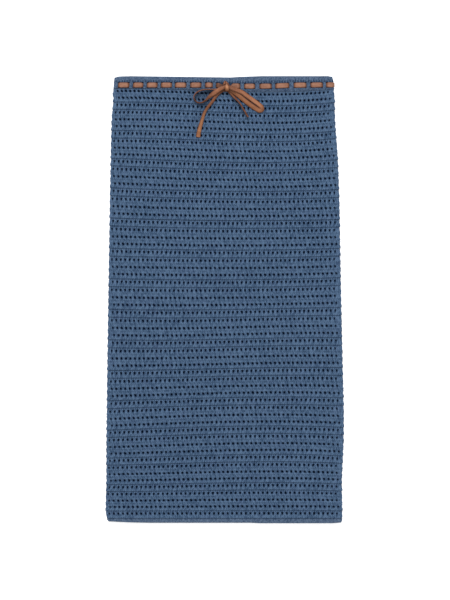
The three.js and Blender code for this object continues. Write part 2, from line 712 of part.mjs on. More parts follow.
/** Rings of the knot, each a squared ellipse, grown by a margin all round. */
function knot(margin = 0) {
  const squared = (value) => Math.sign(value) * Math.abs(value) ** KNOT_SQUARENESS;
  const ends = KNOT_RINGS.length - 1;
  const rings = KNOT_RINGS.map(({ y, x, halfWidth, low, high }, i) => {
    const shift = i === 0 ? -margin : margin * (i === ends);
    const height = (high - low) / 2 + margin;
    return Array.from({ length: KNOT_SIDES }, (_, k) => {
      const angle = (2 * Math.PI * k) / KNOT_SIDES;
      return new THREE.Vector3(
        x + (halfWidth + margin) * squared(Math.cos(angle)),
        y + shift,
        (low + high) / 2 + height * squared(Math.sin(angle)),
      );
    });
  });
  const triangles = [];
  for (let i = 0; i < ends; i += 1) {
    for (let k = 0; k < KNOT_SIDES; k += 1) {
      const [a, b] = [i * KNOT_SIDES + k, i * KNOT_SIDES + ((k + 1) % KNOT_SIDES)];
      triangles.push(a, b + KNOT_SIDES, b, a, a + KNOT_SIDES, b + KNOT_SIDES);
    }
  }
  const last = ends * KNOT_SIDES;
  for (let k = 1; k < KNOT_SIDES - 1; k += 1) {
    triangles.push(0, k, k + 1, last, last + k + 1, last + k);
  }
  const geometry = new THREE.BufferGeometry().setFromPoints(rings.flat());
  geometry.setIndex(triangles);
  return geometry;
}

/** A strap of the bow, cut off just short of the knot. */
function bowStrap(table) {
  const route = new StrapRoute(table);
  const steps = Math.round(route.getLength() / STEP_OF_ROUTE);
  const strap = new THREE.ExtrudeGeometry(strapSection(), { steps, extrudePath: route });
  return toGeometry(toSolid(strap).subtract(toSolid(knot(STRAP_GAP))));
}

/** The woven strap, cut off just short of the knot at both ends. */
function drawstring() {
  const woven = toSolid(strip(strapRoute(), STRAP_WIDTH, STRAP_THICKNESS));
  return toGeometry(woven.subtract(toSolid(knot(STRAP_GAP))));
}

const skirt = new THREE.Group();

/** Adds one named piece to the skirt. */
function add(name, geometry, finish) {
  const piece = new THREE.Mesh(geometry, new THREE.MeshStandardMaterial(finish));
  piece.name = name;
  skirt.add(piece);
}

add('back_panel', backPanel(), KNIT);
add('lining_back', lining(PANEL_WALL + LAYER_GAP), LINING);
add('lining_front', lining(PANEL_WALL + LINING_WALL + 2 * LAYER_GAP), LINING);
add('front_panel', frontPanel(), KNIT);
add('waistband_back', waistband('back'), BAND);
add('waistband_front', waistband('front'), BAND);
add('hem_band_back', hemBand('back'), BAND);
add('hem_band_front', hemBand('front'), BAND);
add('drawstring', drawstring(), LEATHER);
add('bow_knot', knot(), LEATHER);
add('bow_loop_left', bowStrap(LEFT_LOOP), LEATHER);
add('bow_loop_right', bowStrap(RIGHT_LOOP), LEATHER);
add('bow_tail_left', bowStrap(LEFT_TAIL), LEATHER);
add('bow_tail_right', bowStrap(RIGHT_TAIL), LEATHER);

export default skirt;
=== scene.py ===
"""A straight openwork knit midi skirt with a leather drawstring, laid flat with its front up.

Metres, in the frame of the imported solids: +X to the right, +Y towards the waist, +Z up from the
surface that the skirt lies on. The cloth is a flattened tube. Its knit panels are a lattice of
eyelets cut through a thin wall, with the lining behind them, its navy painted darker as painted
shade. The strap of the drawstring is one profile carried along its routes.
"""
from types import SimpleNamespace

import bmesh
import bpy
import numpy as np
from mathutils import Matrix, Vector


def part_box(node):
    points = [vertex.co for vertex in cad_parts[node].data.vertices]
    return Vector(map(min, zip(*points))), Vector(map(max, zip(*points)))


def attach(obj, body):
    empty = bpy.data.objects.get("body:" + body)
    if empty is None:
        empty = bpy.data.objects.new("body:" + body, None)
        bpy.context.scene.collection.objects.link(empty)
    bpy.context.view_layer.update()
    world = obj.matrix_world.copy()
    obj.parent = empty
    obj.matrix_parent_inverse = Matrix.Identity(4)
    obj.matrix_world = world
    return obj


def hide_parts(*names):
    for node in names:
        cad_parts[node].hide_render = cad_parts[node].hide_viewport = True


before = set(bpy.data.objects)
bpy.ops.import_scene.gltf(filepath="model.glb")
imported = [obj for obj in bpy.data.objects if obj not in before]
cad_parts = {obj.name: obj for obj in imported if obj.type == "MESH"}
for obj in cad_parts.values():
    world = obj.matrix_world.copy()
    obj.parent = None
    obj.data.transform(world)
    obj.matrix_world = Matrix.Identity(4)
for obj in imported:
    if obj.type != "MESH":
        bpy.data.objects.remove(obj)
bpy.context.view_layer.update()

MM = 0.001
SEED = 7

# ---------------------------------------------------------------- sizes of the cloth
PANEL_WALL = 2.2 * MM
BAND_WALL = 2 * MM
LINING_WALL = 1 * MM
LAYER_GAP = 0.3 * MM
SEAM_GAP = 0.3 * MM
BODY_HEIGHT = 2 * PANEL_WALL + 2 * LINING_WALL + 3 * LAYER_GAP
HALF_WIDTH = 200.5 * MM

# Outline of the knit, as its left and right edges at each height
SIDE_EDGES = MM * np.array([
    # y, left, right
    (-400, -207.7, 209.7), (-390, -210.8, 209.9), (-378, -212.9, 210.2), (-324, -211.5, 209.3),
    (-252, -211.5, 212.6), (-200, -210.8, 212.9), (-109, -209.7, 210.6), (34, -207.5, 207.4),
    (178, -205.2, 204.9), (249, -203.8, 202.5), (321, -202.3, 197.2), (360, -199, 196.5),
    (367, -200.2, 195.7), (385, -198.1, 194.6), (396, -197.6, 193.3), (400, -196.6, 192.6),
])
TOP_EDGE = MM * np.array([
    # x, y
    (-197, 397.6), (-194, 398.9), (-186, 399.6), (-169, 399.9), (-79, 398.8), (10, 397.6), (28, 398.6),
    (67, 400), (188, 400), (192, 399.2),
])
BOTTOM_EDGE = MM * np.array([
    # x, y
    (-210, -393), (-206, -396.6), (-169, -398.5), (-133, -399.2), (46, -399.2), (64, -400),
    (189, -400), (206, -398.8), (209.5, -396.5),
])

# ---------------------------------------------------------------- knit rows, from the waist down
ROW_COUNT = 59
FIRST_ROW_Y = 368.7 * MM
REPEAT_PITCH = MM * np.array([12.71, 12.36, 13.25, 13.79])
REPEAT_LEDGE = np.array([False, False, True, True])
REPEAT_SHIFT = np.array([0, 0.28, 0, -0.22])
ROW_STRETCH = np.array([
    # y in mm, stretch
    (-380, 0.944), (-200, 0.987), (0, 1.024), (150, 1.011), (370, 0.971),
])
# How far a row leaves a straight line, for u = x / HALF_WIDTH: tilt u + bow u^2 + swirl u^3
ROW_SAG = MM * np.array([
    # y, tilt, bow, swirl
    (-390, 0, 0, 0), (-332, 3, -2.2, -2.3), (-282, 4.5, -3.6, -2.5), (-205, 4.1, -4, -1.3),
    (-103, 4.8, 0, -2.3), (-50, 4.7, 1.4, -3), (4, 1.8, 2.5, -0.4), (77, -0.5, 3, 0.7),
    (151, -1.3, 3.2, -0.4), (240, -4.2, 5.7, 2.7), (279, -6.3, 4.7, 6.1), (369, -6.3, 4.7, 6.1),
])
WAIST_SEAM_Y = FIRST_ROW_Y + 3.4 * MM
HEM_SEAM_Y = -390.8 * MM
PANEL_TOP_Y = WAIST_SEAM_Y - SEAM_GAP / 2
PANEL_BOTTOM_Y = HEM_SEAM_Y + SEAM_GAP / 2

# Eyelets: their lattice across and up
EYELET_COLUMNS = 51
EYELET_MARGINS = MM * np.array([
    # y, left seam to the first eyelet, last eyelet to the right seam
    (-390, 7.8, 11.5), (-330, 7.8, 11.7), (-206, 9.7, 12.6), (-80, 11.4, 13), (3, 9.8, 13),
    (109, 8.5, 10.6), (213, 8.4, 10.4), (317, 9.6, 12.4), (369, 10.2, 12.9),
])
EYELET_HALF_WIDTH = 0.2
EYELET_HALF_HEIGHT = 1.85 * MM
EYELET_BELOW_ROW = 0.65 * MM
EYELET_REACH = 2.1
EYELET_LINES = EYELET_HALF_HEIGHT * np.array([-1, -1 / 3, 1 / 3, 1]) - EYELET_BELOW_ROW
EDGE_STEPS = 6
FRONT_COLUMNS = np.array([-0.5, -0.34, -0.2, -0.2 / 3, 0.2 / 3, 0.2, 0.34])
BACK_COLUMNS = np.array([-0.5, -0.2, -0.2 / 3, 0.2 / 3, 0.2])
# Rises of the lines between two rows of eyelets, over a plain row and over a ledge row
FRONT_RISES = MM * np.array([[2.5, 3.7, 4.9, 5.8, 6.9, 8.4], [2.4, 3.3, 4.2, 5, 6.5, 8.4]])
BACK_RISES = MM * np.array([[3.5, 5.8, 8.6], [3.1, 4.2, 7]])
BELOW_LAST_ROW = MM * np.array([-8.2, -6.2, -4.8, -3.7])
ABOVE_FIRST_ROW = 2.3 * MM
# Corners round an eyelet's block of three by three quads, by line and column
BLOCK_RIM = np.array([
    (0, 0), (0, 1), (0, 2), (0, 3), (1, 3), (2, 3), (3, 3), (3, 2), (3, 1), (3, 0), (2, 0), (1, 0),
])
STITCHES_PER_EYELET = 2
COURSES_PER_ROW = 4

# Relief of a row: groove, lip and crest on the way up to the row above
PLAIN_RELIEF = np.array([
    # share of the way, height in mm
    (0, 0.2), (0.2, 0.5), (0.3, 0.6), (0.39, 0.4), (0.46, 0.05), (0.54, 0.45), (0.66, 0.62),
    (0.8, 0.5), (1, 0.2),
]) * [1, MM]
LEDGE_RELIEF = np.array([
    # share of the way, height in mm
    (0, 0.3), (0.22, 0.35), (0.31, -0.75), (0.37, 0.7), (0.5, 0.85), (0.8, 0.6), (1, 0.25),
]) * [1, MM]
PLAIN_GROOVE_AT = 0.46
LEDGE_GROOVE_AT = 0.31
RELIEF_TOP = 0.85 * MM
RIM_DEPTH = 0.5 * MM
BAR_RISE = 0.25 * MM
STITCH_UNEVENNESS = 0.04 * MM
EDGE_BULGE = 0.42 * MM

# Soft creases of the laid cloth: middle, direction in degrees, half length, half width, depth
CREASES = np.array([
    # x, y, turn, length, width, depth
    (-130, 300, -72, 70, 12, 0.35), (90, 240, 80, 90, 16, 0.3), (-30, 110, -86, 120, 20, -0.3),
    (150, 20, 84, 110, 18, 0.4), (-160, -50, 88, 130, 22, 0.3), (40, -160, -80, 100, 20, -0.35),
    (-80, -270, 75, 80, 16, 0.3), (160, -280, -84, 90, 18, 0.35),
]) * [MM, MM, 1, MM, MM, MM]

# ---------------------------------------------------------------- bands
# Stations of the waistband's profile, between its lines: seam, both sides of the strap's channel,
# below the fold, at the fold, and top. The strap's slots lie between SLOT_LOW and SLOT_HIGH.
SLOT_LOW = 1.0385
SLOT_HIGH = 1.9615
SEWN_STATION = 2.2
BAND_OUTSIDE = [
    0, 0.06, 0.2, 0.4, 0.6, 0.8, 0.95, SLOT_LOW, 1.16, 1.33, 1.5, 1.67, 1.84, SLOT_HIGH,
    2.05, SEWN_STATION, 2.4, 2.6, 2.8, 3, 3.25, 3.5, 3.75, 4, 4.25, 4.5, 4.75, 5,
]
BAND_INSIDE = [5, 4.6, 4, 3.5, 3, 2.5, 2]
BAND_SECTION = MM * np.array([
    # low, high, wall
    (0, 7.3, 2.2), (1.5, 9.1, 2), (1.5, 9.1, 2), (0.4, 8.2, 2), (0.2, 7.4, 2.3), (0.8, 6.2, 2.5),
])
BAND_X = np.arange(-196, 193, 1.1) * MM
BAND_MIDDLE_Y = 383.5 * MM
RIGHT_OF_BAND = 300 * MM
BAND_SWELL = 0.9 * MM
BAND_BAR_RISE = 0.35 * MM
SLOT_DIP = 0.7 * MM
SEAM_DIP = 0.2 * MM
SLOT_CLEAR = 0.5 * MM
# Hem band: its profile from the lower edge up, and the shares of its depth that are turned in
HEM_SECTION = MM * np.array([
    # above the edge, lift
    (0, -0.9), (0.3, -0.45), (0.8, -0.1), (1.5, 0.25), (2.5, 0.5), (3.5, 0.62), (4.5, 0.65),
    (5.5, 0.6), (6.5, 0.5), (7.3, 0.3), (7.9, 0), (8.3, -0.45),
])
HEM_INSIDE = np.array([0.9, 0.4, 0.15, 0])
HEM_MIDDLE_Y = -394.5 * MM
# Lining: its points up and across, how far it stays below the seam and inside its solid, its ripple
LINING_GRID = 90, 50
LINING_BELOW_SEAM = 0.5 * MM
LINING_INSET = 0.15 * MM
LINING_RIPPLE = 0.06 * MM
THREAD_PITCH = 0.6 * MM

# ---------------------------------------------------------------- drawstring
STRAP_WIDTH = 9 * MM
STRAP_THICKNESS = 1.2 * MM
STRAP_GAP = 0.3 * MM
STRAP_LINE = MM * np.array([
    # x, y
    (-200, 383.5), (-20, 383.5), (10, 382), (45, 381.4), (85, 381.6), (120, 383.2), (200, 384),
])
KNOT_X = 3.8 * MM
FRONT_DASHES = MM * np.array([
    # from, to
    (-190.5, -170.7), (-163.7, -145.8), (-139.1, -120.3), (-113.9, -94.7), (-88.6, -68.8),
    (-61.4, -41.9), (-34.7, -21.8), (-15.2, 3.8), (3.8, 27.6), (35.1, 54.1), (62.5, 83.6),
    (90.8, 115.1), (123.6, 145.9), (153.6, 175.1),
])
LAST_DASH_FROM = 181.6 * MM
BACK_DASH_PITCH = 27.4 * MM
BACK_DASH_LENGTH = 20.4 * MM
BACK_DASH_STARTS = -187.5 * MM + BACK_DASH_PITCH * np.arange(14)
DIP_LENGTH = 2.6 * MM
SLOT_OVERRUN = 0.41 * MM
DASH_CROWN = 0.5 * MM
EDGE_EASE = 0.5 * MM
CHANNEL_LOW = STRAP_THICKNESS + STRAP_GAP
CHANNEL_BACK = CHANNEL_LOW + BAND_WALL
CHANNEL_FRONT = CHANNEL_BACK + 2 * STRAP_THICKNESS + 4 * STRAP_GAP
CHANNEL_TOP = CHANNEL_FRONT + BAND_WALL
CHANNEL_REACH = STRAP_WIDTH / 2 + 0.7 * MM
OVER_FRONT = CHANNEL_TOP + STRAP_GAP + STRAP_THICKNESS / 2
UNDER_FRONT = CHANNEL_FRONT - STRAP_GAP - STRAP_THICKNESS / 2
OVER_BACK = STRAP_THICKNESS / 2
UNDER_BACK = CHANNEL_BACK + STRAP_GAP + STRAP_THICKNESS / 2

SECTION_POINTS = 26
SPAN_POINTS = 14
WOVEN_STEP = 0.65 * MM
WOVEN_CROWN = 0.3 * MM
BOW_CROWN = 1.3 * MM
CREASE_RISE = 0.7 * MM
# What the knot does to the woven strap at its left and right: pulls it down, and narrows it
KNOT_PULL = 2.6 * MM, 3.4 * MM
KNOT_SQUEEZE = 0.14, 0.3
DIP_SQUEEZE = 0.09

# Bow: middle line of each strap in mm, and its tilt about that line in degrees
ROUTE_UNITS = [MM, MM, MM, 1]
LEFT_LOOP = np.array([
    # x, y, z, tilt
    (3.5, 380, 17, -6), (-3.2, 377.9, 17, -8), (-10.4, 374.2, 16.6, -12), (-19.3, 367.7, 15.4, -26),
    (-27.6, 361.2, 14, -58), (-34.6, 354.9, 13.2, -82), (-41.7, 351.5, 13, -90),
    (-48.9, 352, 13, -90), (-53.9, 356.7, 13, -90), (-55.2, 362.4, 13, -90),
    (-51.6, 368.5, 13.3, -90), (-44.4, 372.8, 13.9, -90), (-34.6, 375.2, 14.1, -88),
    (-24.5, 375.5, 13.4, -84), (-15, 375.7, 13.2, -70), (-6, 376.6, 13.6, -40),
    (3, 377.5, 13.8, -12),
])
RIGHT_LOOP = np.array([
    # x, y, z, tilt
    (3, 380.5, 15.4, -8), (9.3, 378.5, 15.3, -14), (17.4, 375.8, 14.7, -25),
    (31.3, 370.3, 12.9, -26), (38.9, 365, 12, -25), (46.2, 359.8, 11.4, -25),
    (53.4, 354.6, 11.2, -25), (61.2, 348.8, 11.2, -26), (66.4, 343.9, 11.3, -30),
    (66.9, 339.3, 11.3, -32), (62.3, 337.6, 11.3, -30), (54.8, 341.4, 11.2, -26),
    (47.3, 346.4, 11.2, -25), (40.1, 351.7, 11.2, -25), (33.1, 357.3, 11.2, -25),
    (25.8, 363.4, 11.3, -24), (18.3, 369.4, 11.7, -18), (10.2, 374.6, 12.3, -10),
    (3, 377.4, 12.6, -6),
])
LEFT_TAIL = np.array([
    # x, y, z, tilt
    (0, 374.8, 11.5, 0), (-4.2, 373.5, 11.4, -4), (-9.8, 369.6, 10.8, -10),
    (-15.4, 363.7, 10.5, -22), (-21.6, 353.8, 11.4, -42), (-29.9, 343.2, 12.2, -54),
    (-36.2, 332.5, 12.1, -50), (-39.6, 321.7, 11.7, -44), (-42.8, 311, 11.2, -36),
    (-45.7, 300.2, 10.7, -26), (-47.3, 290.4, 10, -18),
])
RIGHT_TAIL = np.array([
    # x, y, z, tilt
    (4.5, 373.8, 10.2, 0), (8, 370.6, 10.1, -5), (12.2, 366.8, 10.6, -20), (16.8, 362.2, 11.7, -42),
    (20.8, 358.1, 12.8, -64), (24.6, 353.9, 13.1, -77), (28.9, 348.4, 13.1, -80),
    (34.2, 339.3, 13.1, -78), (38.9, 331.2, 13.1, -77), (42.3, 326.2, 13.1, -76),
])
# shade: painted shade (s, t, r) near the knot, then w, the painted highlight far from it.
BOW_STRAPS = [
    {
        "name": "left_loop", "node": "bow_loop_left", "route": LEFT_LOOP, "length": 0.138,
        "far_end": "object", "gather": (0.28, 16, 0.55, 26), "shade": (0.05, 0.3, 12, 0),
    },
    {
        "name": "right_loop", "node": "bow_loop_right", "route": RIGHT_LOOP, "length": 0.156,
        "far_end": "object", "gather": (0.28, 9, 0.28, 9), "shade": (0.05, 0.6, 22, 0.25),
    },
    {
        "name": "left_tail", "node": "bow_tail_left", "route": LEFT_TAIL, "length": 0.101,
        "far_end": "bare", "gather": (0.34, 75), "shade": (0, 0.7, 34, 0.45),
    },
    {
        "name": "right_tail", "node": "bow_tail_right", "route": RIGHT_TAIL, "length": 0.062,
        "far_end": "bare", "gather": (0.62, 26), "shade": (0.32, 0.5, 28, 0),
    },
]

# Knot: its underside, and its points up and across
KNOT_LOW = 9.5 * MM
KNOT_GRID = 84, 60
# Wrap of the knot: x and y of its middle, its reach in x and in y, and how far it stands up
WRAP_PLACE = MM * np.array([4.1, 377.4, 3.7, 5])
WRAP_RISE = 1.2 * MM
KNOT_OUTLINE = MM * np.array([
    # y, left, right, crown
    (371.4, 1.2, 7.4, 13.5), (372.2, -0.6, 8.8, 16), (374.5, -2.4, 10, 17.8),
    (377.5, -3.3, 10.8, 19.2), (380.5, -3.8, 10.4, 18.8), (383.5, -4, 8.6, 17),
    (386.5, -3.2, 6.7, 15.2), (389.3, -1.9, 3.7, 13.6), (391.3, -0.5, 1.7, 12),
])
# Creases of the knot: x and y of both ends, width, depth
KNOT_CREASES = MM * np.array([
    (-1, 371, -1.5, 379.6, 1.7, 3), (-0.8, 379.6, 1.4, 384.6, 0.8, 2),
    (9.1, 371, 9.3, 378.6, 1.2, 3), (9.1, 378.6, 5.4, 384, 0.8, 1.6),
    (-4.2, 380.2, 1.7, 385.2, 0.6, 2), (1.8, 385, 0.9, 391, 0.55, 1.3),
    (9.4, 380.4, 4, 386, 0.55, 1.2), (2.9, 372, 3.2, 375.6, 0.45, 0.6),
    (5.8, 372, 5.5, 375, 0.45, 0.6),
])

CAMERA_DISTANCE = 3.2
VIEW_HEIGHT = 1.0729


# ---------------------------------------------------------------- arrays
def ease(value):
    """3 v^2 - 2 v^3, with v held between 0 and 1."""
    held = np.clip(value, 0, 1)
    return held * held * (3 - 2 * held)


def bell(value):
    """exp(-v^2)."""
    return np.exp(-(value**2))


def read(table, at, column=1):
    """A column of a table, read between its rows at values of its first column."""
    return np.interp(at, table[:, 0], table[:, column])


def smoothed(values, reach):
    """A running mean of the values, weighted by a Hann window that ends reach places away."""
    window = np.hanning(2 * reach + 1)
    return np.convolve(np.pad(values, reach, mode="edge"), window / window.sum(), mode="valid")


def stacked(*parts):
    """The parts joined along a new last axis, such as x, y and z to points."""
    return np.stack(parts, axis=-1)


def unit(vectors):
    """Each vector divided by its length."""
    return vectors / np.linalg.norm(vectors, axis=-1, keepdims=True)


def run_along(points):
    """Distance along a line of points, from its first point."""
    steps = np.linalg.norm(np.diff(points, axis=0, prepend=points[:1]), axis=-1)
    return np.cumsum(steps, axis=0)


# ---------------------------------------------------------------- meshes from arrays
def make_piece(name, points, faces, material, uv_maps, shades=(), outward=False):
    """Puts points and quads (m, 4) into a smooth mesh object.

    uv_maps gives a name and a place (u, v) for each point, and shades a name and a value for
    each point. Points that no face uses are dropped.
    """
    used, corners = np.unique(faces, return_inverse=True)
    corners = corners.reshape(-1).astype(np.int32)
    mesh = bpy.data.meshes.new(name)
    mesh.vertices.add(len(used))
    mesh.vertices.foreach_set("co", points.reshape(-1, 3)[used].astype(np.float32).ravel())
    mesh.loops.add(len(corners))
    mesh.polygons.add(len(faces))
    mesh.polygons.foreach_set("loop_start", np.arange(len(faces), dtype=np.int32) * 4)
    mesh.polygons.foreach_set("vertices", corners)
    mesh.update(calc_edges=True)
    for map_name, places in uv_maps:
        layer = mesh.uv_layers.new(name=map_name)
        places = places.reshape(-1, 2)[used][corners]
        layer.data.foreach_set("uv", places.astype(np.float32).ravel())
    for shade_name, values in shades:
        layer = mesh.attributes.new(shade_name, "FLOAT", "POINT")
        layer.data.foreach_set("value", values.ravel()[used].astype(np.float32))
    if outward:
        work = bmesh.new()
        work.from_mesh(mesh)
        bmesh.ops.recalc_face_normals(work, faces=work.faces)
        work.to_mesh(mesh)
        work.free()
    mesh.shade_smooth()
    mesh.validate()
    mesh.materials.append(material)
    piece = bpy.data.objects.new(name, mesh)
    bpy.context.scene.collection.objects.link(piece)
    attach(piece, "root")
    return piece


def grid_quads(rows, columns, keep=None, closed=False):
    """Quads between the neighbours of a grid of points, counter-clockwise for x right and y up."""
    number = np.arange(rows * columns).reshape(rows, columns)
    if closed:
        number = np.hstack([number, number[:, :1]])
    quads = stacked(number[:-1, :-1], number[:-1, 1:], number[1:, 1:], number[1:, :-1])
    return quads.reshape(-1, 4) if keep is None else quads[keep]


def closed_quads(rows, columns):
    """Quads of a grid of points, of the grid after it, turned round, and of the rim between."""
    front = grid_quads(rows, columns)
    below = rows * columns
    number = np.arange(below).reshape(rows, columns)
    border = np.concatenate([number[0], number[1:, -1], number[-1, -2::-1], number[-2:0:-1, 0]])
    following = np.roll(border, -1)
    rim = stacked(border, border + below, following + below, following)
    return np.vstack([front, front[:, ::-1] + below, rim])


def sheet_map(rows, columns):
    """A flat map of a grid of points, from 0 to 1 each way, inside a small margin."""
    across, up = np.meshgrid(np.linspace(0.004, 0.996, columns), np.linspace(0.004, 0.996, rows))
    return stacked(across, up).reshape(-1, 2)


def closed_map(rows, columns):
    """The flat maps of two grids of points, side by side."""
    half = sheet_map(rows, columns) * [0.49, 1]
    return np.vstack([half, half + [0.505, 0]])


# ---------------------------------------------------------------- shape of the flattened tube
def side(y, column):
    """x of the left (1) or right (2) edge at height y."""
    return read(SIDE_EDGES, y, column)


def sag(x, y):
    """How far a knit row at height y has moved at x: tilt u + bow u^2 + swirl u^3."""
    u = x / HALF_WIDTH
    tilt, bow, swirl = (read(ROW_SAG, y, column) for column in (1, 2, 3))
    return tilt * u + bow * u**2 + swirl * u**3


def strap_y(x):
    """Height of the strap's middle line on the waistband."""
    return read(STRAP_LINE, x)


def face_length(left, right, radius):
    """Length across one face of the tube: the flat part and two quarter circles."""
    return right - left - 2 * radius + np.pi * radius


def on_tube(distance, left, right, low, high, raised, half):
    """x and z of the front or back face of the tube, at a distance along it from its left seam.

    The face climbs a quarter circle of radius r = (high - low) / 2, runs flat and comes down
    another: x = r (1 - cos a), z = r sin a, with a the distance over r. raised moves it out.
    """
    radius = (high - low) / 2
    length = face_length(left, right, radius)
    nearest = np.minimum(distance, length - distance)
    angle = np.clip(nearest / radius, 0, np.pi / 2)
    inward = radius - (radius + raised) * np.cos(angle)
    inward = inward + np.maximum(nearest - radius * np.pi / 2, 0)
    x = np.where(distance < length / 2, left + inward, right - inward)
    seam = 0.1 * SEAM_GAP
    rise = seam + (radius + raised - seam) * np.sin(angle)
    middle = (low + high) / 2
    return x, (middle + rise if half == "front" else middle - rise)


def crease_depth(x, y):
    """Sum of long soft troughs: depth times exp(-(along / length)^2 - (across / width)^2)."""
    total = np.zeros_like(x)
    for middle_x, middle_y, turn, length, width, depth in CREASES:
        turn = np.radians(turn)
        dx, dy = x - middle_x, y - middle_y
        along = (dx * np.cos(turn) + dy * np.sin(turn)) / length
        across = (dy * np.cos(turn) - dx * np.sin(turn)) / width
        total = total + depth * np.exp(-along**2 - across**2)
    return total


# ---------------------------------------------------------------- knit panels
def knit_rows():
    """y of each row of eyelets, from the waist down."""
    rows = [FIRST_ROW_Y]
    for row in range(1, ROW_COUNT):
        rows.append(rows[-1] - REPEAT_PITCH[row % 4] * read(ROW_STRETCH, rows[-1] / MM))
    return np.array(rows)


ROW_Y = knit_rows()
ROW_ABOVE = np.concatenate([[ROW_Y[0] + REPEAT_PITCH[0]], ROW_Y[:-1]])


def lattice_lines(plain_rises, ledge_rises):
    """Lines of the lattice from the hem up: for each its height, its row, and its rise above it."""
    per_row = []
    for row in range(ROW_COUNT - 1, -1, -1):
        rises = ledge_rises if REPEAT_LEDGE[row % 4] else plain_rises
        per_row.append(np.concatenate([EYELET_LINES, rises]))
    per_row[0] = np.concatenate([[PANEL_BOTTOM_Y - ROW_Y[-1]], BELOW_LAST_ROW, per_row[0]])
    per_row[-1] = np.array([*EYELET_LINES, ABOVE_FIRST_ROW, PANEL_TOP_Y - ROW_Y[0]])
    row = np.concatenate([np.full(len(r), ROW_COUNT - 1 - k) for k, r in enumerate(per_row)])
    rise = np.concatenate(per_row)
    return ROW_Y[row] + rise, row, rise


def eyelet_shapes(seed):
    """Width, height, slant and taper of each eyelet, which vary from stitch to stitch.

    Those nearest a side seam are drawn smaller, most of all at the lower left and upper right.
    """
    rng = np.random.default_rng(seed)
    size = (ROW_COUNT, EYELET_COLUMNS)
    row = np.arange(ROW_COUNT)[:, None]
    across = np.arange(EYELET_COLUMNS)[None, :] / (EYELET_COLUMNS - 1)
    ledge = REPEAT_LEDGE[row % 4]
    early = bell(row / 2.2)
    lean = 1 - 1.5 * ease((across - 0.6) / 0.3) * bell(row / 9)
    slant = (0.5 * early + np.where(ledge, 0.08, 0.5)) * lean + rng.normal(0, 0.24, size)
    width = (np.where(ledge, 0.88, 1.05) + 0.14 * early) * rng.normal(1, 0.09, size)
    height = np.clip(rng.normal(1, 0.1, size), 0.75, 1.25)
    taper = np.where(ledge, 0.3, 0.05) + rng.normal(0, 0.16, size)
    from_seam = np.minimum(across, 1 - across) * (EYELET_COLUMNS - 1)
    corner = bell((row / (ROW_COUNT - 1) + across - 1) / 0.25)
    drawn = 1 - (0.24 + 0.14 * corner) * np.exp(-from_seam / 0.7)
    return {
        "width": drawn * np.clip(width, 0.7, 1.3),
        "height": drawn * np.where(ledge, 1.12, 1) * height,
        "slant": np.clip(slant, -0.45, 1.15),
        "taper": taper,
    }


def rounded(a, b):
    """Carries squares round an eyelet's middle to circles of the same size.

    With r the larger of |a| and |b|, and A, B = a / r, b / r, the point goes to
    r (A sqrt(1 - B^2 / 2), B sqrt(1 - A^2 / 2)).
    """
    ring = np.maximum(np.maximum(np.abs(a), np.abs(b)), 1e-6)
    unit_a, unit_b = a / ring, b / ring
    return (
        ring,
        ring * unit_a * np.sqrt(1 - unit_b**2 / 2),
        ring * unit_b * np.sqrt(1 - unit_a**2 / 2),
    )


def stitch_lattice(lines, column_lines, seed):
    """The lattice of stitches: how far along its face each point lies, and how high.

    Each cell has a block of three by three quads for its eyelet. The lattice round it is carried
    from squares to ellipses, which are slanted and tapered, and fades back to the lattice at the
    cell's borders. place counts eyelets across, and ring how many half eyelets away a point is.
    """
    line_y, line_row, line_rise = (values[:, None] for values in lines)
    to_next = ROW_ABOVE[line_row] - ROW_Y[line_row]
    share = line_rise / to_next
    above = np.maximum(line_row - 1, 0)
    shift_here, shift_above = REPEAT_SHIFT[line_row % 4], REPEAT_SHIFT[above % 4]
    shift = shift_here + (shift_above - shift_here) * ease((share - 0.2) / 0.6)

    left = side(line_y + sag(-HALF_WIDTH, line_y), 1)
    right = side(line_y + sag(HALF_WIDTH, line_y), 2)
    length = face_length(left, right, BODY_HEIGHT / 2)
    first_eyelet, last_eyelet = (read(EYELET_MARGINS, line_y, column) for column in (1, 2))
    pitch = (length - first_eyelet - last_eyelet) / (EYELET_COLUMNS - 1)

    cells = (np.arange(EYELET_COLUMNS)[:, None] + column_lines).ravel()
    cells = np.append(cells, EYELET_COLUMNS - 0.5)[None, :]
    inner = first_eyelet + (cells + shift) * pitch
    ramp = (np.arange(EDGE_STEPS) / EDGE_STEPS)[None, :]
    first, last = inner[:, :1], inner[:, -1:]
    distance = np.hstack([first * ramp, inner, length - (length - last) * ramp[:, ::-1]])
    place = np.hstack([
        -0.5 - (first - first * ramp) / pitch,
        cells + 0 * line_y,
        EYELET_COLUMNS - 0.5 + (length - last) * (1 - ramp[:, ::-1]) / pitch,
    ])

    column = np.clip(np.rint(place), 0, EYELET_COLUMNS - 1).astype(int)
    nearer_above = share > 0.5
    row = np.where(nearer_above, above, line_row) + 0 * column
    rise = np.where(nearer_above, line_rise - to_next, line_rise)
    a = (place - column) / EYELET_HALF_WIDTH
    b = (rise + EYELET_BELOW_ROW) / EYELET_HALF_HEIGHT + 0 * a
    ring, round_a, round_b = rounded(a, b)
    shape = {key: values[row, column] for key, values in eyelet_shapes(seed).items()}
    round_a = round_a * (shape["width"] + shape["taper"] * round_b / np.maximum(ring, 1))
    round_a = round_a - shape["slant"] * round_b * 0.8
    round_b = round_b * shape["height"]
    near = ease((EYELET_REACH - ring) / (EYELET_REACH - 1))
    return SimpleNamespace(
        line_y=line_y, line_row=line_row, line_rise=line_rise, share=share, row=row, rise=rise,
        left=left, right=right, length=length, place=place, column=column, ring=ring,
        distance=distance + near * (round_a - a) * EYELET_HALF_WIDTH * pitch,
        flat_y=line_y + near * (round_b - b) * EYELET_HALF_HEIGHT,
    )


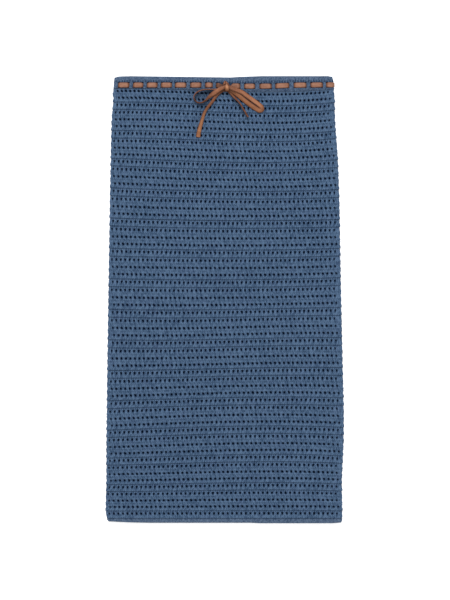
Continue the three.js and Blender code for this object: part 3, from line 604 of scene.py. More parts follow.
def knit_relief(lattice, seed):
    """How far each point stands out, and its painted shade and painted highlight."""
    rng = np.random.default_rng(seed + 1)
    share, ring, rise, place = lattice.share, lattice.ring, lattice.rise, lattice.place
    ledge = REPEAT_LEDGE[lattice.line_row % 4]
    held_share = np.clip(share, 0, 1)
    relief = np.where(
        ledge, read(LEDGE_RELIEF, held_share), read(PLAIN_RELIEF, held_share),
    )
    rim = ease((1.9 - ring) / 0.9)
    # Bars between eyelets: this mask raises them, and a jittered copy lightens them as a painted
    # highlight.
    between = ease((np.abs(place - lattice.column) - 0.2) / 0.2)
    long_bar = bell((rise + 1.5 * MM) / (3.6 * MM))
    short_bars = bell((np.abs(rise + 0.4 * MM) - 3.5 * MM) / (1.7 * MM))
    painted_highlight = between * np.where(REPEAT_LEDGE[lattice.row % 4], long_bar, short_bars)
    raised = relief - RIM_DEPTH * rim + BAR_RISE * painted_highlight
    raised = raised + rng.normal(0, STITCH_UNEVENNESS, raised.shape)
    # Painted shade: darker round each eyelet's rim and along the row's groove, broken up at random.
    groove_at = np.where(ledge, LEDGE_GROOVE_AT, PLAIN_GROOVE_AT)
    broken = 0.7 + 0.3 * np.cos(4 * np.pi * place) + rng.normal(0, 0.25, place.shape)
    groove = np.where(ledge, 1, 0.45) * bell((share - groove_at) / 0.055) * broken
    painted_shade = np.clip(0.85 * ease((1.42 - ring) / 0.42) + groove, 0, 1)
    painted_highlight = np.clip(painted_highlight * rng.normal(1, 0.14, painted_highlight.shape), 0, 1.5)

    distance, length = lattice.distance, lattice.length
    bumps = rng.normal(1, 0.3, (ROW_COUNT, 2))[lattice.line_row[:, 0]]
    bumps = np.where(distance < length / 2, bumps[:, :1], bumps[:, 1:])
    bulge = np.cos(2 * np.pi * (share - 0.55)) * bumps
    edge = np.minimum(distance, length - distance)
    raised = raised + EDGE_BULGE * bulge * ease(1 - edge / (3.5 * MM))
    return raised, painted_shade, painted_highlight


def on_panel(lattice, half, raised):
    """Points of a panel's face, moved out by raised, and down with the creases at the front."""
    if half == "back":
        raised = raised - RELIEF_TOP
    x, z = on_tube(lattice.distance, lattice.left, lattice.right, 0, BODY_HEIGHT, raised, half)
    y = lattice.flat_y + sag(x, lattice.line_y)
    if half == "front":
        z = z - crease_depth(x, y) * ease((z - 0.7 * BODY_HEIGHT) / (0.2 * BODY_HEIGHT))
    return stacked(x, y, z)


def drawn_together(rings, share):
    """Rings of points, moved towards their middles until a share of their size is left."""
    return rings.mean(axis=1, keepdims=True) * (1 - share) + rings * share


def knit_piece(name, node, half, lines, column_lines, seed, material):
    """A stretch of a knit panel: a lattice of stitches, with an eyelet cut in each cell.

    The block of quads in the middle of each cell is left out. From each eyelet's rim a wall
    goes down to the panel's inner face.
    """
    lattice = stitch_lattice(lines, column_lines, seed)
    raised, painted_shade, painted_highlight = knit_relief(lattice, seed)
    points = on_panel(lattice, half, raised)
    line_y, share, length = lattice.line_y, lattice.share, lattice.length
    bake = stacked(
        0.003 + 0.994 * lattice.distance / length,
        0.003 + 0.994 * (lattice.flat_y - line_y[0]) / (line_y[-1] - line_y[0]),
    )
    course = np.where(
        REPEAT_LEDGE[lattice.line_row % 4],
        np.interp(share, [-1, 0, LEDGE_GROOVE_AT, 1], [-4, 0, 1, 4]),
        np.interp(share, [-1, 0, PLAIN_GROOVE_AT, 1], [-4, 0, 2, 4]),
    )
    place = lattice.place
    courses = course - lattice.line_row * COURSES_PER_ROW + 0 * place
    stitches = stacked(place * STITCHES_PER_EYELET, courses)

    # The block of quads that each eyelet leaves out, by its first line and column
    lines_count, columns_count = place.shape
    block_line = np.flatnonzero(np.abs(lattice.line_rise[:, 0] - EYELET_LINES[0]) < 1e-6)
    block_line = block_line[block_line + 3 < lines_count]
    offset = EDGE_STEPS + np.flatnonzero(np.abs(column_lines + EYELET_HALF_WIDTH) < 1e-6)[0]
    block_column = offset + len(column_lines) * np.arange(EYELET_COLUMNS)
    keep = np.ones((lines_count - 1, columns_count - 1), dtype=bool)
    step = np.arange(3)
    keep[np.ix_((block_line[:, None] + step).ravel(), (block_column[:, None] + step).ravel())] = False
    quads = grid_quads(lines_count, columns_count, keep)

    # Walls of the eyelets, from the rim, counter-clockwise, to a smaller ring on the inner face
    rim_line = block_line[:, None, None] + BLOCK_RIM[:, 0]
    rim_column = block_column[None, :, None] + BLOCK_RIM[:, 1]
    rim_number = (rim_line * columns_count + rim_column).reshape(-1, len(BLOCK_RIM))
    inner_face = on_panel(lattice, half, 0 * raised - PANEL_WALL)
    deep = drawn_together(inner_face.reshape(-1, 3)[rim_number], 0.88)
    deep_bake = drawn_together(bake.reshape(-1, 2)[rim_number], 0.5)
    deep_number = place.size + np.arange(rim_number.size).reshape(rim_number.shape)
    walls = stacked(
        rim_number, np.roll(rim_number, -1, axis=1), np.roll(deep_number, -1, axis=1), deep_number,
    ).reshape(-1, 4)

    faces = np.vstack([quads, walls])
    stitches = stitches.reshape(-1, 2)
    piece = make_piece(
        name, np.vstack([points.reshape(-1, 3), deep.reshape(-1, 3)]),
        faces if half == "front" else faces[:, ::-1], material,
        uv_maps=[
            ("OFBake", np.vstack([bake.reshape(-1, 2), deep_bake.reshape(-1, 2)])),
            ("stitches", np.vstack([stitches, stitches[rim_number.ravel()]])),
        ],
        shades=[
            # The eyelets' walls get full painted shade.
            ("painted_shade", np.append(painted_shade, np.ones(rim_number.size))),
            ("painted_highlight", np.append(painted_highlight, np.zeros(rim_number.size))),
        ],
    )
    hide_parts(node)


def panel_parts(name, node, half, rises, column_lines, cut_rows, seed, material):
    """The stretches of one panel, parted along the grooves of its ledge rows."""
    line_y, line_row, line_rise = lattice_lines(*rises)
    groove = [
        int(np.flatnonzero((line_row == row) & (line_rise > 4 * MM))[0]) for row in cut_rows
    ]
    ends = [0, *groove, len(line_y) - 1]
    for number, (start, stop) in enumerate(zip(ends[:-1], ends[1:]), start=1):
        lines = tuple(values[start:stop + 1] for values in (line_y, line_row, line_rise))
        knit_piece(f"{name}_{number}", node, half, lines, column_lines, seed, material)


# ---------------------------------------------------------------- bands
def dash_slots(half):
    """The slots of the waistband: the lower and upper x of each."""
    if half == "front":
        starts, stops = (dashes[dashes != KNOT_X] for dashes in FRONT_DASHES.T)
        starts = np.append(starts, LAST_DASH_FROM)
    else:
        starts = BACK_DASH_STARTS
        stops = starts[:-1] + BACK_DASH_LENGTH
    lows = np.sort(np.concatenate([starts - SLOT_OVERRUN, stops - DIP_LENGTH - SLOT_OVERRUN]))
    return lows, lows + DIP_LENGTH + 2 * SLOT_OVERRUN


def under_dash(x, half):
    """1 where a dash of the strap covers the band, and 0 on the bars between dashes."""
    if half == "front":
        inside = np.zeros_like(x)
        for start, stop in [*FRONT_DASHES, (LAST_DASH_FROM, RIGHT_OF_BAND)]:
            covered = ease((x - start) / DIP_LENGTH) * ease((stop - x) / DIP_LENGTH)
            inside = np.maximum(inside, covered)
        return inside
    phase = (x - BACK_DASH_STARTS[0]) % BACK_DASH_PITCH
    inside = ease(phase / DIP_LENGTH) * ease((BACK_DASH_LENGTH - phase) / DIP_LENGTH)
    return inside * (x > BACK_DASH_STARTS[0] - DIP_LENGTH / 2)


def band_piece(name, node, half, points, keep, stitches, shades, material):
    """One half of a band."""
    rows, columns = points.shape[:2]
    faces = grid_quads(rows, columns, keep)
    piece = make_piece(
        name, points, faces if half == "front" else faces[:, ::-1], material,
        uv_maps=[("OFBake", sheet_map(rows, columns)), ("stitches", stitches)], shades=shades,
    )
    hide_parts(node)


def band_columns(lows, highs):
    """The waistband's lines from side to side, as shares of its face, and their x on the band.

    They are even but for three at each slot, and closer round the side edges.
    """
    even = BAND_X[:, None]
    clear = np.all((even < lows - SLOT_CLEAR) | (even > highs + SLOT_CLEAR), axis=1)
    x_lines = np.sort(np.concatenate([BAND_X[clear], lows, highs, (lows + highs) / 2]))
    left, right = side(BAND_MIDDLE_Y, 1), side(BAND_MIDDLE_Y, 2)
    radius = (CHANNEL_TOP - CHANNEL_LOW) / 2
    length = face_length(left, right, radius)
    turn = radius * (np.pi / 2 - 1)
    across = (x_lines - left + turn) / length
    across = across[(across > 0.022) & (across < 0.978)]
    across = np.concatenate([np.linspace(0, 0.0195, 7), across, np.linspace(0.9805, 1, 7)])
    return across[None, :], left - turn + across[None, :] * length


def waistband(name, node, half, material):
    """Half of the waistband, a profile carried across the skirt between its stations.

    The stations are the seam, the two sides of the strap's channel and the turned top edge. The
    profile runs up the outer face, over the top and a little way down the inside. Quads in the
    slots are left out, and the cloth dips towards them and swells beside the dashes.
    """
    lows, highs = dash_slots(half)
    across, x_flat = band_columns(lows, highs)
    station = np.array(BAND_OUTSIDE + BAND_INSIDE)[:, None]
    is_inside = (np.arange(len(station)) >= len(BAND_OUTSIDE))[:, None]
    low, high, wall = (
        np.interp(station, np.arange(len(BAND_SECTION)), values) for values in BAND_SECTION.T
    )
    strap, tops = strap_y(x_flat), read(TOP_EDGE, x_flat)
    heights = np.vstack([
        WAIST_SEAM_Y + SEAM_GAP / 2 + sag(x_flat, WAIST_SEAM_Y),
        strap - CHANNEL_REACH, strap + CHANNEL_REACH, tops - 3.5 * MM, tops - 1 * MM, tops,
    ])
    before = np.minimum(station[:, 0].astype(int), len(heights) - 2)
    part = station - before[:, None]
    y = heights[before] * (1 - part) + heights[before + 1] * part
    turned_in = np.interp(station, [4, 5], [0, 0.6 * MM])
    left, right = side(y[:, :1], 1) + turned_in, side(y[:, -1:], 2) - turned_in

    rng = np.random.default_rng(SEED + 30)
    off_strap = np.abs(y - strap) / STRAP_WIDTH
    beside = ease((off_strap - 0.5) / 0.16) * ease((1.5 - off_strap) / 0.75)
    dash = under_dash(x_flat, half)
    bars = (1 - dash) * ease((0.9 - off_strap) / 0.5)
    to_slot = np.min(np.abs(x_flat[..., None] - (lows + highs) / 2), axis=-1)
    slot_dip = ease((3.6 * MM - to_slot) / (2.2 * MM)) * ease((0.62 - off_strap) / 0.12)
    swell = BAND_SWELL * beside * (0.35 + 0.65 * dash) + BAND_BAR_RISE * bars
    raised = swell * (half == "front")
    raised = raised - SLOT_DIP * slot_dip - SEAM_DIP * ease((0.08 - station) / 0.08)
    raised = raised + rng.normal(0, 0.03 * MM, raised.shape)
    raised = np.where(is_inside, -wall, raised)
    if half == "back":
        raised = np.minimum(raised, 0)
    distance = across * face_length(left, right, (high - low) / 2)
    x, z = on_tube(distance, left, right, low, high, raised, half)
    points = stacked(x, y, z)

    mid_station = (station[:-1, 0] + station[1:, 0]) / 2
    mid_x = (x_flat[0, :-1] + x_flat[0, 1:]) / 2
    in_channel = (mid_station > SLOT_LOW) & (mid_station < SLOT_HIGH) & ~is_inside[1:, 0]
    in_slot = np.any((mid_x[:, None] > lows) & (mid_x[:, None] < highs), axis=1)
    keep = ~(in_channel[:, None] & in_slot)
    stitches = stacked(distance / (2 * MM), run_along(points) / (1.8 * MM))
    # Painted shade at the slits' edges, under the strap beside each dash, and in dots along the sewn
    # line.
    slit_shade = ease((2.6 * MM - to_slot) / (1.4 * MM)) * ease((0.66 - off_strap) / 0.14)
    under = dash * ease((0.66 - off_strap) / 0.12)
    dots = np.cos(x_flat / (0.75 * MM)) + 0.3 + rng.normal(0, 0.35, x.shape)
    sewn = (np.abs(station - SEWN_STATION) < 0.21) * np.clip(dots, 0, 1) * ~is_inside
    painted_shade = np.clip(0.9 * slit_shade + 0.7 * under + 0.9 * sewn, 0, 1)
    band_piece(
        name, node, half, points, keep, stitches, [("painted_shade", painted_shade)], material,
    )


def hem_band(name, node, half, material):
    """Half of the hem band, a rounded profile carried from side to side along the lower edge.

    The profile starts on the inside, and its faces pucker a little along the seam.
    """
    across = np.concatenate([
        np.linspace(0, 0.02, 8), np.linspace(0.025, 0.975, 260), np.linspace(0.98, 1, 8),
    ])[None, :]
    above, lift = HEM_SECTION.T
    share = np.concatenate([HEM_INSIDE, above / above[-1]])[:, None]
    is_inside = (np.arange(len(share)) < len(HEM_INSIDE))[:, None]
    rng = np.random.default_rng(SEED + 40)
    left, right = side(HEM_MIDDLE_Y, 1), side(HEM_MIDDLE_Y, 2)
    x_flat = left + across * (right - left)
    bottom = read(BOTTOM_EDGE, x_flat)
    y = bottom + (HEM_SEAM_Y - SEAM_GAP / 2 - bottom) * share
    left, right = side(y[:, :1], 1), side(y[:, -1:], 2)
    pucker = 0.12 * MM * np.sin(x_flat / (3.1 * MM)) * ease((share - 0.7) / 0.3)
    raised = np.concatenate([0 * HEM_INSIDE + lift[0], lift])[:, None] + pucker
    raised = raised + rng.normal(0, 0.04 * MM, raised.shape)
    raised = np.where(is_inside, -PANEL_WALL + 0.3 * MM, raised)
    if half == "back":
        raised = np.minimum(raised - 0.2 * MM, 0)
    distance = across * face_length(left, right, BODY_HEIGHT / 2)
    x, z = on_tube(distance, left, right, 0, BODY_HEIGHT, raised, half)
    stitches = stacked(distance / (2.1 * MM), (y - bottom) / (1.9 * MM))
    # Painted shade in gaps along the seam, and a painted highlight over the band's rounded lower part.
    gaps = 0.75 + 0.25 * np.cos(x_flat / (1.1 * MM)) + rng.normal(0, 0.2, x.shape)
    painted_shade = np.clip(ease((share - 0.8) / 0.2) * gaps, 0, 1)
    light = 0.4 * ease((0.75 - share) / 0.25) + 0 * x
    band_piece(
        name, node, half, stacked(x, y, z), None, stitches,
        [("painted_shade", painted_shade), ("painted_highlight", light)], material,
    )


def lining_cloth(name, node, material):
    """One layer of the lining: a thin closed slab whose faces ripple a little.

    The ripple is a sum of long waves across and along, in tenths of a millimetre.
    """
    low, high = (np.array(corner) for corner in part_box(node))
    rows, columns = LINING_GRID
    u, v = np.meshgrid(np.linspace(0, 1, columns), np.linspace(0, 1, rows))
    y = low[1] + (high[1] - low[1]) * v
    margin = PANEL_WALL + 2 * LAYER_GAP
    left, right = side(y, 1) + margin, side(y, 2) - margin
    x = left + (right - left) * u
    top = WAIST_SEAM_Y + sag(x, WAIST_SEAM_Y) - LINING_BELOW_SEAM
    y = low[1] + (top - low[1]) * v
    ripple = LINING_RIPPLE * (np.sin(x * 61 + y * 17) + np.sin(y * 43 - x * 23))
    faces_z = high[2] - LINING_INSET, low[2] + LINING_INSET
    points = np.stack([stacked(x, y, z + ripple) for z in faces_z])
    piece = make_piece(
        name, points, closed_quads(rows, columns), material,
        uv_maps=[("OFBake", closed_map(rows, columns))], outward=True,
    )
    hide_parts(node)


# ---------------------------------------------------------------- leather strap
def strap_section(crown):
    """The strap's section: a flat ellipse with squared ends, bent to a low ridge.

    x = w |cos a|^0.3, y = t |sin a|^0.6 + crown (1/2 - |x / w|^1.5), with the signs of cos and sin.
    """
    angle = np.arange(SECTION_POINTS) * 2 * np.pi / SECTION_POINTS
    across = np.sign(np.cos(angle)) * np.abs(np.cos(angle)) ** 0.3
    up = np.sign(np.sin(angle)) * np.abs(np.sin(angle)) ** 0.6
    arch = crown * (0.5 - np.abs(across) ** 1.5)
    return stacked(across * STRAP_WIDTH / 2, up * STRAP_THICKNESS / 2 + arch)


def smooth_route(points):
    """A centripetal Catmull-Rom curve through the points, each span a cubic in t from 0 to 1."""
    ends = np.vstack([2 * points[0] - points[1], points, 2 * points[-1] - points[-2]])
    p0, p1, p2, p3 = ends[:-3], ends[1:-2], ends[2:-1], ends[3:]

    def root(a, b):
        return np.sqrt(np.linalg.norm(a[:, :3] - b[:, :3], axis=1, keepdims=True))

    d0, d1, d2 = root(p0, p1), root(p1, p2), root(p2, p3)
    out = d1 * ((p1 - p0) / d0 - (p2 - p0) / (d0 + d1) + (p2 - p1) / d1)
    back = d1 * ((p2 - p1) / d1 - (p3 - p1) / (d1 + d2) + (p3 - p2) / d2)
    t = (np.arange(SPAN_POINTS) / SPAN_POINTS)[None, :, None]
    spans = (
        p1[:, None] + out[:, None] * t
        + (3 * (p2 - p1) - 2 * out - back)[:, None] * t**2
        + (2 * (p1 - p2) + out + back)[:, None] * t**3
    )
    return np.vstack([spans.reshape(-1, points.shape[1]), points[-1:]])


def strap_piece(name, node, centres, across, up, widths, material, crown, dark, highlight_amount):
    """A closed strap with its ends cut square: the section, carried along a route.

    A ring's points are centre + width a across + b up, for the points (a, b) of the section.
    dark is each ring's painted shade, and the value after it its painted highlight, from 0 to 1.
    """
    a, b = strap_section(crown).T
    rings = centres[:, None] + (a * widths[:, None])[..., None] * across[:, None]
    rings = rings + b[:, None] * up[:, None]
    rows, columns = rings.shape[:2]
    k = np.arange(columns // 2 - 1)
    cap = stacked(k, k + 1, columns - 2 - k, columns - 1 - k)
    walls = grid_quads(rows, columns, closed=True)
    faces = np.vstack([walls, cap[:, ::-1], cap + (rows - 1) * columns])
    over, along = np.broadcast_arrays(a, run_along(centres)[:, None])
    # Painted shade on the strap's underside.
    under = (np.arange(columns) > columns // 2) * 0.12
    piece = make_piece(
        name, rings, faces, material,
        uv_maps=[
            ("OFBake", sheet_map(rows, columns)),
            ("strap", stacked(over / MM, along / MM)),
        ],
        shades=[
            ("painted_shade", np.clip(under + dark[:, None], 0, 1)),
            ("painted_highlight", np.repeat(highlight_amount, columns)),
        ],
        outward=True,
    )
    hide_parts(node)
    return piece


def bow_strap(name, node, route, length, far_end, gather, shade, material):
    """One strap of the bow, tilted about its route, and gathered where the knot holds it.

    Its width is 1 - g exp(-(d / r)^2) at a distance d from its start, and the same from its end
    where the knot holds that too, with gather = (g, r, g, r), r in mm. It has painted shade
    s + t exp(-(d / r)^2) at a distance d from the knot, with shade = (s, t, r, w), and a painted
    highlight w where it lies far from the knot.
    """
    route = smooth_route(route * ROUTE_UNITS)
    centres, tilt = route[:, :3], smoothed(np.radians(route[:, 3]), 4)
    tangent = unit(np.gradient(centres, axis=0))
    left = unit(stacked(-tangent[:, 1], tangent[:, 0], 0 * tilt))
    over = np.cross(tangent, left)
    across = left * np.cos(tilt)[:, None] + over * np.sin(tilt)[:, None]
    up = np.cross(tangent, across)
    run = run_along(centres) / MM
    to_end = run[-1] - run
    held_twice = far_end == "object"
    from_knot = np.minimum(run, to_end) if held_twice else run
    static, fading, reach, far_highlight = shade
    widths = 1 - gather[0] * bell(run / gather[1])
    # Painted shade: a base amount, more near the knot.
    dark = static + fading * bell(from_knot / reach) + 0.3 * bell(from_knot / 7)
    # Painted highlight far from the knot.
    highlight_amount = far_highlight * ease((run - 35) / 25)
    if held_twice:
        widths = widths - gather[2] * bell(to_end / gather[3])
        # Painted shade at the loop's nose.
        dark = dark + 0.4 * bell((run - 0.49 * run[-1]) / 6)
    else:
        # A fold near the bare end: raised, with a painted highlight on it and painted shade nearer the
        # end.
        crease = bell((to_end - 11) / 1.3)
        centres = centres + CREASE_RISE * crease[:, None] * up
        dark = dark + 0.35 * bell((to_end - 6) / 5)
        highlight_amount = np.maximum(highlight_amount, crease)
    piece = strap_piece(
        name, node, centres, across, up, widths, material, BOW_CROWN, dark, highlight_amount,
    )


def dash_route(start, stop, outside, inside):
    """Points (x, z) of one dash, from left to right: in, out, crowned in the middle, out, in.

    A dash that ends under the knot stays out there.
    """
    crown = DASH_CROWN if outside > inside else 0
    points = [
        (start, inside), (start + DIP_LENGTH, outside), ((start + stop) / 2, outside + crown),
        (stop - DIP_LENGTH, outside), (stop, inside),
    ]
    if start == KNOT_X:
        points[:2] = [(start, outside)]
    if stop == KNOT_X:
        points[-2:] = [(stop, outside)]
    return points


def side_turn(centre_x, high, low, direction):
    """Points of a half circle round a side edge, from the front's height down to the back's."""
    radius = (high - low) / 2
    angles = np.linspace(0, np.pi, 13)
    x = centre_x + direction * radius * np.sin(angles)
    return list(zip(x, low + radius + radius * np.cos(angles)))


def drawstring(name, node, material):
    """The woven strap: from the knot to the left, round the back, and back to the knot.

    Its route in x and z is read at even steps and smoothed, so that it bends in and out of the
    slots, and its width is drawn in a little where it dips.
    """
    radius = (CHANNEL_TOP - CHANNEL_LOW) / 2
    left_centre = side(strap_y(-HALF_WIDTH), 1) + radius + EDGE_EASE
    right_centre = side(strap_y(HALF_WIDTH), 2) - radius + EDGE_EASE
    route = []
    for start, stop in FRONT_DASHES[FRONT_DASHES[:, 0] < KNOT_X][::-1]:
        route += dash_route(start, stop, OVER_FRONT, UNDER_FRONT)[::-1]
    route += side_turn(left_centre, UNDER_FRONT, UNDER_BACK, -1)
    for start in BACK_DASH_STARTS[:-1]:
        route += dash_route(start, start + BACK_DASH_LENGTH, OVER_BACK, UNDER_BACK)
    last = BACK_DASH_STARTS[-1]
    route += [(last, UNDER_BACK), (last + DIP_LENGTH, OVER_BACK)]
    route += side_turn(right_centre, OVER_FRONT, OVER_BACK, 1)[::-1]
    route += [(LAST_DASH_FROM + DIP_LENGTH, OVER_FRONT), (LAST_DASH_FROM, UNDER_FRONT)]
    for start, stop in FRONT_DASHES[FRONT_DASHES[:, 0] >= KNOT_X][::-1]:
        route += dash_route(start, stop, OVER_FRONT, UNDER_FRONT)[::-1]
    route = np.array(route)
    run = run_along(route)
    even = np.arange(0, run[-1], WOVEN_STEP)
    x, z = (smoothed(np.interp(even, run, values), 3) for values in route.T)

    on_front = z > (CHANNEL_TOP + CHANNEL_LOW) / 2
    to_left = on_front * (x <= KNOT_X) * ease((x + 13 * MM) / (11 * MM))
    to_right = on_front * (x > KNOT_X) * ease((15.5 * MM - x) / (7 * MM))
    drawn_down = KNOT_PULL[0] * to_left + KNOT_PULL[1] * to_right
    centres = stacked(x, strap_y(x) - drawn_down, z)
    along_x, along_z = unit(np.gradient(stacked(x, z), axis=0)).T
    zero = 0 * x
    across = stacked(zero, zero - 1, zero)
    up = stacked(along_z, zero, -along_x)
    dips = ease(np.abs(along_z) / 0.6)
    widths = 1 - DIP_SQUEEZE * dips - KNOT_SQUEEZE[0] * to_left - KNOT_SQUEEZE[1] * to_right
    # Painted shade near the knot, more on its left, and where the strap dips into the slots.
    near_knot = ease(1 - (np.abs(x - KNOT_X) - 10 * MM) / (12 * MM)) * on_front
    near_knot = near_knot * np.where(x < KNOT_X, 1, 0.45)
    dark = np.clip(0.25 * dips + near_knot, 0, 1)
    strap_piece(name, node, centres, across, up, widths, material, WOVEN_CROWN, dark, zero)


def knot_creases(x, y):
    """Depth of the knot's creases: for each, depth exp(-(distance to its line / width)^2)."""
    deepest = np.zeros_like(x)
    for x0, y0, x1, y1, width, depth in KNOT_CREASES:
        run_x, run_y = x1 - x0, y1 - y0
        along = np.clip(((x - x0) * run_x + (y - y0) * run_y) / (run_x**2 + run_y**2), 0, 1)
        away = np.hypot(x - x0 - along * run_x, y - y0 - along * run_y)
        deepest = np.maximum(deepest, depth * bell(away / width))
    return deepest


def knot_piece(name, node, material):
    """The knot: a crowned cushion over its outline, creased between its wrap and its folds.

    With u from -1 to 1 across and v from 0 to 1 up the outline, the height over its base is
    crown sqrt(1 - |u|^2.6) sqrt(1 - |2 v - 1|^7), less the creases, and more on the wrap.
    """
    rows, columns = KNOT_GRID
    v = (np.sin(np.linspace(-np.pi / 2, np.pi / 2, rows)) + 1) / 2
    u = np.sin(np.linspace(-np.pi / 2, np.pi / 2, columns))[None, :]
    key = np.linspace(0, 1, len(KNOT_OUTLINE))
    dense = np.linspace(0, 1, 161)
    outline = [smoothed(np.interp(dense, key, values), 8) for values in KNOT_OUTLINE.T]
    outline[0] = np.interp(dense, key, KNOT_OUTLINE[:, 0])
    y, left, right, crown = (np.interp(v, dense, values)[:, None] for values in outline)
    x = (left + right) / 2 + (right - left) / 2 * u
    y = y + 0 * u
    dome = np.sqrt(np.clip(1 - np.abs(u) ** 2.6, 0, 1))
    dome = dome * np.sqrt(np.clip(1 - np.abs(2 * v[:, None] - 1) ** 7, 0, 1))
    creased = knot_creases(x, y)
    wrap_x, wrap_y, reach_x, reach_y = WRAP_PLACE
    wrap = np.exp(-(((x - wrap_x) / reach_x) ** 4) - ((y - wrap_y) / reach_y) ** 4)
    height = (crown - KNOT_LOW) * dome - creased * ease(dome / 0.5) + WRAP_RISE * wrap
    height = np.maximum(height, 0)
    base = KNOT_LOW + 0 * height - 0.1 * MM
    points = np.stack([stacked(x, y, z) for z in (KNOT_LOW + height, base)])
    strap = stacked((x - 4 * MM) * 0.6 / MM, y / MM)
    # Painted shade in creases and towards the rim, painted highlight on the wrap; full painted shade
    # below.
    dark = np.clip(creased / (1.2 * MM) + 0.5 * (1 - dome) + 0.4 * (1 - wrap), 0, 1)
    piece = make_piece(
        name, points, closed_quads(rows, columns), material,
        uv_maps=[("OFBake", closed_map(rows, columns)), ("strap", np.stack([strap, strap]))],
        shades=[
            ("painted_shade", np.stack([dark, np.ones_like(x)])),
            ("painted_highlight", np.stack([0.7 * wrap, np.zeros_like(x)])),
        ],
        outward=True,
    )
    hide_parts(node)


# ---------------------------------------------------------------- materials
class Graph:
    """Short calls for a node tree: sockets or plain values go in, and a socket comes out."""

    def __init__(self, tree):
        self.tree = tree

    def fill(self, node, inputs):
        """Feeds a node's inputs, which are given by name or by number."""
        for key, value in inputs.items():
            if isinstance(value, bpy.types.NodeSocket):
                self.tree.links.new(value, node.inputs[key])
            else:
                node.inputs[key].default_value = value

    def node(self, kind, *values, inputs=None, **settings):
        """Adds a node with its settings, and feeds its first inputs or those that are named."""
        made = self.tree.nodes.new(kind)
        for key, value in settings.items():
            setattr(made, key, value)
        self.fill(made, inputs or dict(enumerate(values)))
        return made

    def math(self, operation, *values):
        return self.node("ShaderNodeMath", *values, operation=operation).outputs[0]

    def times(self, first, second):
        return self.math("MULTIPLY", first, second)

    def held(self, value, low, high, to_low=0.0, to_high=1.0):
        """A smooth step of the value from low to high, between to_low and to_high."""
        values = (value, low, high, to_low, to_high)
        return self.node("ShaderNodeMapRange", *values, interpolation_type="SMOOTHSTEP").outputs[0]

    def noise(self, vector, scale, detail=2.0, roughness=0.5):
        inputs = {"Vector": vector, "Scale": scale, "Detail": detail, "Roughness": roughness}
        return self.node("ShaderNodeTexNoise", inputs=inputs).outputs[0]

    def mixed(self, share, first, second):
        """A colour that goes from the first to the second."""
        inputs = {0: share, 6: first, 7: second}
        return self.node("ShaderNodeMix", inputs=inputs, data_type="RGBA").outputs[2]

    def joined(self, x, y):
        return self.node("ShaderNodeCombineXYZ", x, y, 0.0).outputs[0]

    def parted(self, vector):
        return self.node("ShaderNodeSeparateXYZ", vector).outputs

    def bump(self, height, strength, distance):
        inputs = {"Height": height, "Strength": strength, "Distance": distance}
        return self.node("ShaderNodeBump", inputs=inputs).outputs[0]

    def place(self):
        """Where the surface is, in the object's own metres."""
        return self.node("ShaderNodeTexCoord").outputs["Object"]

    def uv(self, name):
        """The two parts of a UV map."""
        return self.parted(self.node("ShaderNodeUVMap", uv_map=name).outputs[0])[:2]

    def shade(self, name):
        """A value that the mesh holds for each point."""
        return self.node("ShaderNodeAttribute", attribute_name=name).outputs["Fac"]


def knit_stitch_group():
    """Plain knit: columns of V stitches. Each leg is a ridge, slanted up and away from its column.

    With x the place in a stitch from 0 to 1, a leg's ridge is |sin(2 pi x)|. A course is
    |sin(pi (up - slope |2 x - 1|))|. The height is their product to the power 0.6, times
    0.8 - 0.2 cos(2 pi x), which sets the columns apart. Chance is a value from 0 to 1 for each
    leg, by its numbers across and up.
    """
    tree = bpy.data.node_groups.new("knit_stitch", "ShaderNodeTree")
    for name in ("Across", "Up", "Slope"):
        tree.interface.new_socket(name, in_out="INPUT", socket_type="NodeSocketFloat")
    for name in ("Height", "Chance"):
        tree.interface.new_socket(name, in_out="OUTPUT", socket_type="NodeSocketFloat")
    graph = Graph(tree)
    across, up, slope = graph.node("NodeGroupInput").outputs[:3]
    turn = graph.times(across, 2 * np.pi)
    leg = graph.math("ABSOLUTE", graph.math("SINE", turn))
    inside = graph.math("FRACT", across)
    slant = graph.math("ABSOLUTE", graph.math("SUBTRACT", graph.times(inside, 2), 1))
    raised = graph.math("SUBTRACT", up, graph.times(slant, slope))
    course = graph.math("ABSOLUTE", graph.math("SINE", graph.times(raised, np.pi)))
    height = graph.math("POWER", graph.times(leg, course), 0.6)
    apart = graph.math("MULTIPLY_ADD", graph.math("COSINE", turn), -0.2, 0.8)
    numbers = graph.joined(
        graph.math("FLOOR", graph.times(across, 2)), graph.math("FLOOR", raised),
    )
    chance = graph.node(
        "ShaderNodeTexWhiteNoise", inputs={"Vector": numbers}, noise_dimensions="2D",
    )
    graph.node("NodeGroupOutput", graph.times(height, apart), chance.outputs["Value"])
    return tree


def new_material(name):
    material = bpy.data.materials.new(name)
    material.use_nodes = True
    return material, Graph(material.node_tree), material.node_tree.nodes["Principled BSDF"]


